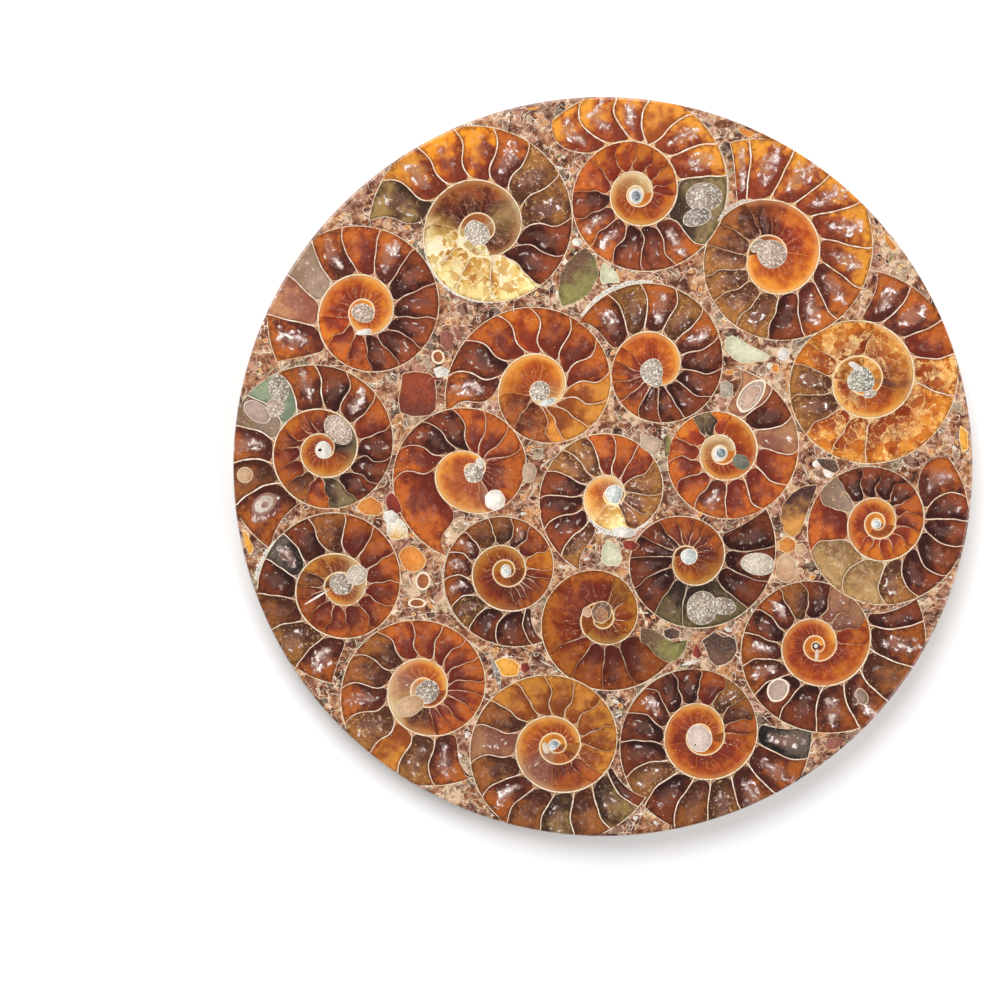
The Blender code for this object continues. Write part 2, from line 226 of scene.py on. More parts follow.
# Stones: two tones and the rim's tone, the rim's width in mm and how sandy they are.
stones = {
    "umber": ("93623f a8744c cfa783", 0.05, 0.2),
    "rose": ("c5a28c b8937c ecd9c2", 0.07, 0.25),
    "dusty": ("b0968a a2887b e6d3bf", 0.1, 0.1),
    "dustSand": ("a39280 827261 d3c2aa", 0.06, 0.9),
    "sand": ("b9a998 968675 ddcdb6", 0.06, 1),
    "greySand": ("94867a 6d6055 dacdb8", 0.1, 0.8),
    "greenSand": ("a5a08c 747466 cfc6ac", 0.06, 1),
    "pinkSand": ("b79f8c a28a76 dcc8b0", 0.06, 0.8),
    "paleSand": ("cbb9a6 b7a592 e4d7c4", 0.06, 0.6),
    "pale": ("d5c0b4 c3aba0 ecdccb", 0.1, 0.15),
    "white": ("e8e1d6 c9c1b4 f4ede2", 0.05, 0.3),
    "ice": ("dddfd8 b2b8b3 f0ede4", 0.08, 0.5),
    "pearl": ("f3ece2 ddd0c0 f6efe4", 0.05, 0),
    "steel": ("8e9aa0 5d686f aab4b6", 0.05, 0.5),
    "steelWhite": ("dfe5e5 79868c e4dccb", 0.1, 0.6),
    "black": ("1d1614 2f2420 4b3d36", 0, 0),
    "tan": ("c9a582 b98e6a e0c6a6", 0.09, 0.15),
    "geodeDark": ("8a6256 a98375 9c7668", 0.1, 0.1),
    "geode": ("a98f80 b39a8b ecdac4", 0.26, 0.2),
    "haze": ("cfc0b4 b39f90 8a5f4e", 0.45, 0.25),
    "geodeDim": ("947a6d 77604f d3b596", 0.14, 0.2),
    "ringShell": ("7e5a42 6e4c37 dcb994", 0.13, 0.3),
    "creamCore": ("e2d0bc cfb496 efe3d2", 0, 0),
    "sage": ("70705f 54574a a7a488", 0.05, 0.15),
    "block": ("8c3c22 6d3223 dcc0a0", 0.1, 0.05),
    "paleGreen": ("c2bf9e cfcaab dccfae", 0.1, 0.1),
    "halfWhorl": ("4a2a24 c88a45 d8b48a", 0.09, 0.05),
    "yellow": ("e6a545 dd9538 f0d3a0", 0.14, 0.05),
    "amber": ("cf8438 c07230 e6c596", 0.12, 0.1),
    "crimson": ("8e3325 6b2419 d0a184", 0.08, 0.05),
    "creamAmber": ("dfd8c9 d9ac62 ecdfc4", 0.1, 0.4),
    "orange": ("cc7930 d98b3c e7c294", 0.1, 0.1),
    "blackBrown": ("49342b 6b4a38 d7bfa6", 0.12, 0.1),
    "oliveDark": ("664832 837b44 c4ad88", 0.08, 0.1),
    "paleBand": ("bda38a a88d74 d9c5aa", 0.07, 0.1),
    "mauve": ("94594a 82483c c9a18a", 0.06, 0.1),
    "ringChip": ("8a4a2a a2602f e8d5ba", 0.3, 0.1),
    "grey": ("a3937f 8d7f6e cdbca2", 0.1, 0.4),
}

# The fragments on their own, each as its stone, the turn of its tones and its corners.
fragments = {
    "calcite_block": ("block", -90,
        "-29.88,13.9 -27.95,14.2 -25.72,13.9 -24.97,13.16 -24.68,10.63 -24.82,8.4 -25.72,7.51 -28.39,7.36 "
        "-30.18,7.95 -30.47,9.89 -30.03,12.11"),
    "pale_green_shard_1": ("paleGreen", 0,
        "17.99,18.8 19.18,19.55 20.37,18.95 21.55,18.21 23.34,17.32 24.82,16.43 24.23,15.68 22.59,15.53 "
        "20.66,15.24 19.18,16.13 18.28,17.32"),
    "pale_green_shard_2": ("paleGreen", -60,
        "0.59,-10.93 1.49,-11.22 2.38,-12.41 2.97,-13.6 2.23,-14.79 0.45,-14.79 -0.3,-13.9 -0.15,-12.11"),
    "half_whorl": ("halfWhorl", -100,
        "31.96,-2.6 31.07,-4.98 30.18,-7.21 29.73,-8.7 29.28,-9.89 28.09,-10.63 26.91,-9.74 26.31,-7.66 "
        "26.61,-5.72 28.09,-3.94 29.73,-2.9"),
    "tan_shard": ("tan", -90,
        "26.31,-13.3 27.2,-12.71 28.54,-13.9 28.99,-15.24 28.69,-16.57 27.65,-17.32 26.46,-17.17 "
        "25.57,-16.13 25.87,-14.2"),
    "yellow_shard": ("yellow", 0,
        "-16.2,-28.91 -14.87,-28.32 -13.23,-28.76 -12.34,-29.51 -12.64,-31.14 -14.12,-31.29 -15.01,-31.14"),
    "amber_shard_1": ("amber", 0,
        "-35.97,-4.98 -34.49,-4.39 -32.85,-5.43 -32.55,-6.61 -33.45,-7.36 -35.53,-7.21 -36.72,-6.17"),
    "maroon_shard_1": ("crimson", -90,
        "-32.26,-4.39 -31.51,-3.79 -30.62,-4.53 -30.03,-5.87 -29.88,-6.76 -30.92,-7.21 -31.96,-6.61 "
        "-32.26,-5.72"),
    "cream_shard": ("creamAmber", -90,
        "-32.26,-8.25 -31.22,-7.36 -29.88,-7.95 -28.99,-9.29 -29.14,-10.48 -30.47,-10.93 -31.66,-10.78 "
        "-32.11,-9.59"),
    "amber_shard_2": ("orange", 0,
        "-30.47,-13.16 -29.73,-12.11 -28.39,-11.67 -27.2,-12.41 -26.16,-13.9 -26.61,-15.09 -28.09,-15.83 "
        "-29.58,-15.24"),
    "maroon_shard_2": ("blackBrown", -90,
        "14.57,-25.79 15.61,-25.2 16.5,-24.45 17.99,-25.34 19.62,-24.9 20.07,-27.28 19.32,-28.76 "
        "18.14,-29.51 16.8,-29.8 15.76,-28.76 15.31,-27.28"),
    "grey_shard": ("grey", 0,
        "17.39,12.56 18.28,12.86 19.32,12.11 19.32,10.63 18.58,10.03 17.54,10.33"),
}

# Sand plugs, crystals and pebbles in the shells: x, y, half length, half width, turn, stone.
inclusions = {
    "ammonite_01": "-18.73 34.71 1.86 1.86 0 sand",
    "ammonite_02": "-35.68 22.82 1.78 1.38 -15 pinkSand; -35.53 19.99 1.19 0.45 10 white",
    "ammonite_03": "-9.36 11.22 1.49 1.49 0 sand; -8.18 9.59 1.26 0.45 20 ice",
    "ammonite_04": "-41.55 2.45 1.26 1.26 0 white; -42.07 2.45 0.3 0.22 0 black; "
                   "-39.39 5.43 2.38 1.83 -52 pinkSand; -48.16 11.67 1.49 2.08 10 dustSand; "
                   "-48.76 8.7 1.34 1.34 0 pinkSand; -51.43 8.1 2.3 1.34 -35 dusty; "
                   "-53.22 -1.26 1.19 1.19 0 tan; -50.39 -5.57 2.1 1.45 35 haze; "
                   "-50.24 -5.72 0.62 0.46 30 geodeDark",
    "ammonite_05": "4.91 40.21 1.11 1.19 0 white; 4.91 40.21 0.71 0.77 0 steel; "
                   "15.01 40.06 2.82 2.08 5 dustSand; 13.97 37.09 2.23 1.34 20 greySand",
    "ammonite_06": "25.12 31.59 2.16 2.16 0 pinkSand; 23.04 32.78 1.19 0.89 40 pinkSand",
    "ammonite_07": "38.35 12.86 2.01 1.93 0 greenSand; 37.46 14.94 1.04 0.45 -30 white; "
                   "39.69 10.78 1.04 0.59 20 sand",
    "ammonite_08": "7.28 14.05 1.68 2.01 0 sand; 8.03 12.41 0.89 0.59 20 sand",
    "ammonite_09": "22 10.55 2.9 1.55 52 geode; 21.8 10.3 2.2 1.05 52 rose; 17.39 1.86 1.09 1.09 0 white; "
                   "17.54 2.01 0.68 0.71 0 steel; 20.51 0.67 1.34 1.04 -40 sage",
    "ammonite_10": "-19.18 -0.97 1.44 1.44 0 sand; -18.28 0.52 0.59 0.74 30 white; "
                   "-16.05 -4.98 1.56 1.49 0 pearl",
    "ammonite_11": "1.64 -4.09 1.29 1.41 0 ice",
    "ammonite_12": "40.66 -8.55 0.71 0.67 0 ice",
    "ammonite_13": "-14.42 -15.53 0.77 1 0 white; -14.42 -15.53 0.39 0.51 0 ice",
    "ammonite_14": "12.78 -13.38 1.23 1.19 0 ice; 23.04 -14.49 2.5 1.71 -3 paleSand; "
                   "14.72 -21.03 2.3 2.53 -15 dustSand; 17.69 -20.74 2.01 1.34 -5 dustSand",
    "ammonite_15": "-0.22 -21.63 1.56 1.64 0 ringShell; -0.15 -22.07 0.89 0.97 0 umber; "
                   "-2.38 -21.63 0.67 0.82 10 tan",
    "ammonite_16": "-38.95 -17.47 1.71 1.64 0 dustSand; -36.57 -16.13 1.56 1.49 0 paleSand; "
                   "-42.51 -19.4 2.16 0.16 31 white",
    "ammonite_17": "31.66 -26.68 0.51 0.51 0 black; 31.66 -26.68 0.3 0.3 0 white; "
                   "31.81 -28.02 0.3 0.89 -5 creamCore; 26.01 -33.22 1.5 1.95 -35 geode; "
                   "38.5 -34.2 0.85 1.35 25 geodeDim",
    "ammonite_18": "-26.16 -33.52 1.86 1.71 20 dustSand; -28.69 -35.6 2.3 1.41 22 tan",
    "ammonite_19": "-7.36 -41.4 0.89 0.71 30 steelWhite; -8.47 -41.84 0.52 0.89 20 creamCore",
    "ammonite_20": "14.34 -40.43 1.81 2.08 25 pale; 13.68 -41.4 0.13 0.13 0 black",
}

# White crusts on a shell's wall: the shell, two spiral angles, the width and the stone.
# Each is a row of grains, whose lengths along the wall and spreads in width are ranges.
crusts = (
    "8 812 861 0.75 white; 11 228 322 0.8 white; 16 868 908 0.7 white; 6 470 506 0.8 paleSand; "
    "2 290 372 0.35 creamCore; 1 560 640 0.3 white; 20 470 520 0.3 creamCore; 5 700 745 0.3 creamCore; "
    "18 560 620 0.35 creamCore; 13 520 600 0.3 creamCore")
grain = {"spacing": 0.42, "length": (0.22, 0.36), "spread": (0.75, 1.15), "sunk": 0.06, "toBevel": 0.4,
         "sides": 9, "rough": 0.25}

# Bits in the cement: polygons as a stone, its turn and corners; pebbles as x, y, half
# length, half width, turn and stone; and splinters as two ends, a width and a stone.
chips = [
    ("oliveDark", -60, "-2.53,32.63 -1.04,30.99 -0.59,28.47 -1.93,25.79 -4.16,24.3 -6.09,23.71 -6.69,25.49 "
     "-6.39,28.47 -5.35,30.4 -3.72,31.89"),
    ("paleGreen", 0, "0,30.4 1.34,29.51 2.23,28.47 2.53,27.28 1.04,27.28 -0.3,27.13 -0.45,28.91"),
    ("white", 0, "26.91,17.76 27.8,17.02 27.5,15.98 26.31,15.83 25.87,17.02"),
    ("orange", 0, "25.27,15.39 26.16,15.09 26.16,14.05 25.42,13.9 24.97,14.64"),
    ("orange", 0, "18.14,14.2 19.03,14.49 19.62,14.05 19.03,13.6 18.28,13.6"),
    ("white", 0, "1.34,-9.29 2.82,-8.84 4.61,-9.29 4.91,-10.18 3.57,-10.63 1.78,-10.33"),
    ("crimson", 0, "2.82,-11.07 4.31,-10.93 5.5,-11.67 4.61,-12.56 3.12,-12.26"),
    ("blackBrown", 0, "31.51,1.26 34.49,1.11 35.23,-0.52 34.49,-1.11 32.55,-0.22"),
    ("white", 0, "-32.55,-6.76 -31.37,-6.47 -30.32,-7.36 -30.77,-8.4 -32.11,-8.55 -32.7,-7.66"),
    ("oliveDark", -20, "5.5,-23.86 7.73,-24.3 9.66,-25.79 11.45,-26.24 12.64,-25.79 12.19,-27.28 "
     "11.15,-28.76 9.66,-29.21 7.73,-28.02 6.69,-26.53 5.5,-26.09"),
    ("blackBrown", 0, "8.92,-24.3 10.26,-23.86 11.59,-24.45 11.45,-25.49 10.11,-25.79 9.07,-25.34"),
    ("paleBand", 0, "12.49,-24.16 13.53,-24.6 12.34,-26.68 12.04,-28.62 10.85,-28.32 11.45,-26.39"),
    ("crimson", 0, "13.23,-28.02 13.82,-26.09 14.87,-28.02 14.12,-28.62"),
    ("crimson", 0, "-12.19,-29.21 -11.15,-29.06 -10.7,-30.1 -11.45,-30.84 -12.19,-30.4"),
    ("paleBand", 0, "5.5,4.98 7.73,4.39 8.77,3.79 8.47,2.45 7.73,1.41 5.5,2.9"),
    ("oliveDark", 0, "8.92,4.24 9.66,4.98 10.11,3.94 9.81,1.71 9.22,1.26"),
    ("mauve", 0, "-24.23,19.84 -23.19,20.29 -22,19.55 -22.45,17.32 -23.34,17.02 -24.08,18.06"),
    ("mauve", 0, "-22.45,21.03 -21.55,20.29 -20.81,18.8 -21.7,18.66"),
    ("amber", 0, "26.01,-11.07 27.35,-10.33 28.69,-11.07 28.69,-12.41 27.35,-13.01 26.16,-12.41"),
    ("tan", 0, "28.54,-11.67 29.73,-11.37 30.47,-12.56 29.58,-13.45 28.54,-13.01"),
    ("blackBrown", 0, "-26.46,-21.63 -24.97,-21.63 -24.68,-22.37 -26.16,-22.67"),
    ("white", 0, "-25.27,14.49 -24.08,14.94 -22.89,14.34 -23.19,13.45 -24.68,13.16"),
    ("orange", 0, "-12.19,54.48 -10.7,54.63 -9.22,53.89 -9.96,52.99 -11.59,52.99"),
    ("orange", 0, "20.07,50.91 21.55,50.91 22.89,49.57 21.85,48.83 20.37,49.57"),
    ("paleBand", 0, "-11.74,0.37 -10.55,0.52 -9.81,-0.52 -10.26,-2.16 -11.59,-2.45 -12.04,-1.11"),
    ("amber", 0, "41.77,35.16 42.96,34.26 43.85,32.48 43.11,31.89 41.92,33.37"),
    ("yellow", 0, "53.07,6.17 54.26,5.13 54.26,2.45 53.37,2.16 52.92,4.24"),
    ("yellow", 0, "-53.96,-9.44 -53.07,-9.59 -51.88,-12.26 -52.47,-13.3 -53.51,-11.67"),
    ("mauve", 0, "33.15,-40.36 35.53,-40.36 36.72,-41.1 34.93,-42.29 33.15,-41.99"),
    ("mauve", 0, "-44.59,-32.03 -42.96,-32.63 -42.07,-34.41 -43.26,-34.56 -44.45,-33.37"),
]
pebbles = (
    "-26.76 -17.02 1.19 1.34 0 ringChip; -27.65 -20.29 1.34 0.74 0 ringChip; "
    "-24.53 16.28 1.04 1.04 0 ringChip; 31.66 0.37 0.52 0.52 0 pearl; 33.59 -0.82 0.82 0.82 0 pearl; "
    "-3.86 33.37 0.74 0.59 0 white; -6.39 31.44 0.89 0.59 20 white; 29.28 -15.53 0.59 0.45 0 tan; "
    "9.07 4.53 0.45 0.3 0 white; -25.42 -2.6 0.74 0.45 40 tan; 24.82 14.94 0.45 0.45 0 white")
splinters = (
    "21.26 39.17 19.92 46.16 0.7 paleSand; 29.28 0.67 30.47 -2.01 0.24 creamCore; "
    "-28.69 -10.63 -30.47 -12.71 0.45 mauve; -28.99 -16.13 -28.39 -18.06 0.3 creamCore; "
    "-25.72 -19.55 -24.68 -20.59 0.3 creamCore; 16.65 -24.3 19.92 -25.79 0.24 creamCore; "
    "11.74 -29.51 14.42 -28.76 0.59 white; 17.99 -24.01 19.18 -24.45 0.59 white; "
    "-16.8 -28.02 -15.31 -33.22 0.89 greySand; -12.04 -29.06 -12.34 -31.14 0.3 creamCore; "
    "8.77 3.94 7.73 1.41 0.22 creamCore; 9.66 4.98 10.26 3.64 0.22 creamCore; "
    "-24.23 18.06 -22.45 16.13 0.24 creamCore; -27.2 15.24 -26.31 15.83 0.3 creamCore; "
    "-26.01 12.71 -23.64 12.86 0.45 crimson; 5.5 -28.02 7.73 -29.95 0.3 creamCore; "
    "14.42 -24.6 17.39 -25.79 0.22 creamCore; -6.39 30.4 -7.58 28.32 0.3 creamCore; "
    "0.45 31.44 2.82 29.51 0.27 creamCore; -22 14.64 -19.77 11.07 0.24 creamCore; "
    "-24.23 11.97 -21.55 9.59 0.3 mauve; -31.37 -0.52 -29.88 -2.9 0.3 creamCore; "
    "-9.36 -0.52 -7.14 1.26 0.24 creamCore; -11.15 -4.98 -9.36 -2.3 0.24 creamCore; "
    "6.24 -5.72 4.31 -7.95 0.24 creamCore; 19.62 15.09 21.55 14.05 0.22 creamCore; "
    "27.8 -4.98 29.28 -7.21 0.22 creamCore; 28.99 -18.36 26.31 -19.55 0.24 creamCore; "
    "22.59 -2.01 27.8 -3.79 0.24 creamCore; -20.07 -25.79 -17.39 -28.02 0.27 creamCore; "
    "-9.36 -28.76 -6.99 -29.95 0.24 creamCore")
# Loose bits strewn between them: how many, how clear of the others, and ranges of their
# half lengths and widths.
loose = {
    "chips": {"count": 230, "margin": 0.35, "long": (0.18, 0.6), "wide": (0.12, 0.35), "sides": 9,
              "rough": 0.22},
    "splinters": {"count": 330, "margin": 0.25, "long": (0.3, 1.1), "wide": (0.08, 0.18), "bow": 0.15},
    "stones": "creamCore mauve amber crimson tan blackBrown paleBand oliveDark orange white".split(),
}

# How deep plugs and bits go. Later ones lie higher, by steps too small to see.
slab = {
    "plugDepth": 0.8,
    "plugFloorStep": 0.01,
    "plugLift": 0.0007,    # of the first plug over the cement's face
    "plugStep": 0.0009,    # from one plug of a shell to the next
    "bitDepth": 0.6,
    "bitSunk": 0.0099,     # of the lowest bit under the plate's top
    "bitSpread": 0.0098,   # from the lowest bit to the highest
    "placedBow": 0.12,     # how far placed splinters bow
}


def tableOf(text):
    # Rows parted by semicolons: numbers, then the name of a stone.
    rows = [row.split() for row in text.split(";")]
    return [(*map(float, row[:-1]), row[-1]) for row in rows]


def cornersOf(text):
    return np.array([pair.split(",") for pair in text.split()], float)


def tone(text):
    # Linear colour of a hex tone: each channel is ((c + 0.055) / 1.055) ^ 2.4.
    values = np.array([int(text[i:i + 2], 16) for i in (0, 2, 4)]) / 255.0
    return np.where(values < 0.04045, values / 12.92, ((values + 0.055) / 1.055) ** 2.4)


def rgb(text):
    return (*tone(text), 1.0)


def direction(angle):
    turned = np.radians(angle)
    return np.stack([np.cos(turned), np.sin(turned)], axis=-1)


def whorlRadius(shell, angle):
    # Catmull-Rom curve through the logs of the radii, one every quarter turn: a cubic whose
    # slope at each log is half the step from the log before it to the one after.
    logs = np.log(np.array(shell["radii"], float))
    logs = np.concatenate([[2 * logs[0] - logs[1]], logs, [2 * logs[-1] - logs[-2]]])
    place = (np.asarray(angle, float) - shell["first"]) / 90.0 + 1.0
    start = np.clip(place.astype(int), 1, len(logs) - 3)
    f = place - start
    before, here, ahead, beyond = (logs[start + step] for step in (-1, 0, 1, 2))
    return np.exp(
        here
        + 0.5 * f * (ahead - before)
        + 0.5 * f**2 * (2 * before - 5 * here + 4 * ahead - beyond)
        + 0.5 * f**3 * (3 * here - before - 3 * ahead + beyond)
    )


def narrowing(height):
    # Width of an inlay at a height, against its face: it shrinks evenly downwards.
    depth = plate["thickness"] - np.asarray(height, float)
    return 1.0 - (1.0 - plate["undercut"]) * depth / (plate["thickness"] - plate["inlayFloor"])


def reachToRim(centre, angle, radius):
    # Length of the ray from the centre to a circle round the plate's axis.
    along = direction(angle) @ np.array(centre)
    return -along + np.sqrt(along**2 - np.dot(centre, centre) + radius**2)


def rimLevels():
    # The edge of the plate from its face down to the floor of the pockets.
    edge, top, bevel = plate["radius"], plate["thickness"], plate["bevel"]
    inset = bevel * (1 - math.sqrt(0.5))
    return [(edge - bevel, top), (edge - inset, top - inset), (edge, top - bevel),
            (edge, plate["inlayFloor"])]


def sweepsAt(shell, septum):
    # The sweeps given for the nearest angles, mixed by how near each is.
    given = sorted(shell["sweeps"].items())
    stations = [angle for angle, _ in given]
    bends = np.array([bend for _, bend in given], float)
    return np.array([np.interp(septum, stations, bends[:, i]) for i in range(4)])


def archOf(shell, septum):
    # Quadratic of the height through the three outer sweeps.
    return np.polyfit([1.0, 0.65, 0.3], sweepsAt(shell, septum)[:3], 2)


def sweepOf(shell, septum, height):
    # How far a septum leans at each height: the arch and a hook at the inner wall,
    # which fades as the power 2.4 up to 0.45 of the height.
    arch = archOf(shell, septum)
    hook = sweepsAt(shell, septum)[3] - arch[2]
    return np.polyval(arch, height) + hook * np.clip(1 - np.asarray(height) / 0.45, 0, 1) ** 2.4


def whorlOutline(shell, grow=0.0):
    # The last full turn, closed along the last septum.
    end = float(shell["end"])
    height = np.linspace(1.0, 0.0, 9)
    angle = end + sweepOf(shell, end, height)
    inner, outer = whorlRadius(shell, angle - 360.0), whorlRadius(shell, angle)
    close = direction(angle + grow * 3) * (inner + height * (outer - inner) + grow)[:, None]
    turn = np.linspace(angle[-1] - 360.0, angle[0], 145)[1:-1]
    circling = (whorlRadius(shell, turn) + grow)[:, None] * direction(turn)
    return shell["centre"] + np.concatenate([circling, close])


def finishMesh(name, points, faces, material):
    mesh = bpy.data.meshes.new(name)
    mesh.from_pydata((points * mm).tolist(), [], faces)
    mesh.materials.append(material)
    mesh.update()
    piece = bpy.data.objects.new(name, mesh)
    bpy.context.scene.collection.objects.link(piece)
    return piece


def paint(mesh, name, values, domain="FACE"):
    # Three numbers for each face or corner, which the materials read by name.
    layer = mesh.attributes.new(name, "FLOAT_VECTOR", domain)
    layer.data.foreach_set("vector", values.astype(np.float32).ravel())


def paintPairs(mesh, name, values):
    layer = mesh.uv_layers.new(name=name)
    layer.data.foreach_set("uv", values.astype(np.float32).ravel())


def chambersOf(shell):
    # The chambers in a row. The septum nearest the end of the first turn closes that turn,
    # which starts a full turn before it.
    rooms = [(float(word[:-1]), word[-1]) for word in shell["rooms"].split()]
    closing = min((angle for angle, _ in rooms), key=lambda angle: abs(angle - shell["first"] - 360.0))
    bow = archOf(shell, closing)
    turn = closing + bow[2]
    septa = [turn if angle == closing else angle for angle, _ in rooms]
    starts = [turn - 360.0] + septa[:-1]
    return {"kinds": [kind for _, kind in rooms], "starts": starts, "septa": septa, "turn": turn, "bow": bow}


def paintChambers(mesh, shell, rooms, owners, portion, seeds):
    # Paints each face with its chamber's tones and traits, the width of its septa and
    # walls, and what the first turn holds. Early whorls run their tones together, half
    # and half at a septum.
    kinds, turn, bold = rooms["kinds"], rooms["turn"], shell.get("bold", 1.0)
    starts, septa = np.array(rooms["starts"]), np.array(rooms["septa"])
    first, end = turn - 360.0, shell["end"]
    middles = (starts + septa) / 2
    grown = np.clip((middles - first) / (end - first), 0, 1)
    # the last turn is brighter, and it or a little more shows each chamber clearly
    lastTurn = middles > end - coil["lastTurn"]
    clear = (middles > end - shell.get("clear", coil["lastTurn"])).astype(float)
    counts = np.empty(len(mesh.polygons), np.int32)
    mesh.polygons.foreach_get("loop_total", counts)
    room = np.repeat(owners, counts)
    other = np.clip(room + np.where(portion < 0.5, -1, 1), 0, len(kinds) - 1)
    blend = (np.abs(portion - 0.5) * (1 - clear[room] * clear[other]))[:, None]
    jitter = 1.0 + 0.2 * (seeds.random((len(kinds), 1)) - 0.5)
    jitter = jitter * np.where(lastTurn, *shell["shade"])[:, None]
    looks = {part: np.array([tone(fillings[kind][0].split()[order]) for kind in kinds]) * jitter
             for order, part in enumerate(("core", "body", "outer", "corner"))}
    looks["traits"] = np.array([fillings[kind][1:] for kind in kinds])
    for label, values in looks.items():
        paint(mesh, label, values[room] * (1 - blend) + values[other] * blend, "CORNER")
    size = whorlRadius(shell, middles) - np.where(middles > turn, whorlRadius(shell, middles - 360), 0)
    ripe = np.clip((middles - end + 360) / coil["ripening"], 0.1, 1) * clear * bold
    # half width of the septa: more in wide chambers, and up to 0.05 mm more on bold ones
    thin = coil["septum"] + 0.002 * size + (0.026 + 0.026 * seeds.random(len(kinds))) * ripe
    middleWall, growth, clearWall = coil["walls"]
    wall = np.where(clear > 0, clearWall, middleWall + growth * grown)
    own = np.where(clear > 0, seeds.random(len(kinds)), seeds.random())
    paint(mesh, "lines", np.stack([thin, wall, own], axis=-1)[owners])
    # the first turn holds the earlier whorls: each is this share as wide as the next
    share = float(whorlRadius(shell, first) / whorlRadius(shell, turn))
    inside = np.where(middles < turn, share, 0.0)
    shown = inside * 0 + min(1.0, 1.3 * bold)
    paint(mesh, "nest", np.stack([inside, inside > 0, shown], axis=-1)[owners])
    extra = np.where(middles < turn, np.round((septa - starts) / coil["extraEvery"]), 1.0)
    paint(mesh, "last", np.stack([clear, np.maximum(extra, 1.0), ripe], axis=-1)[owners])


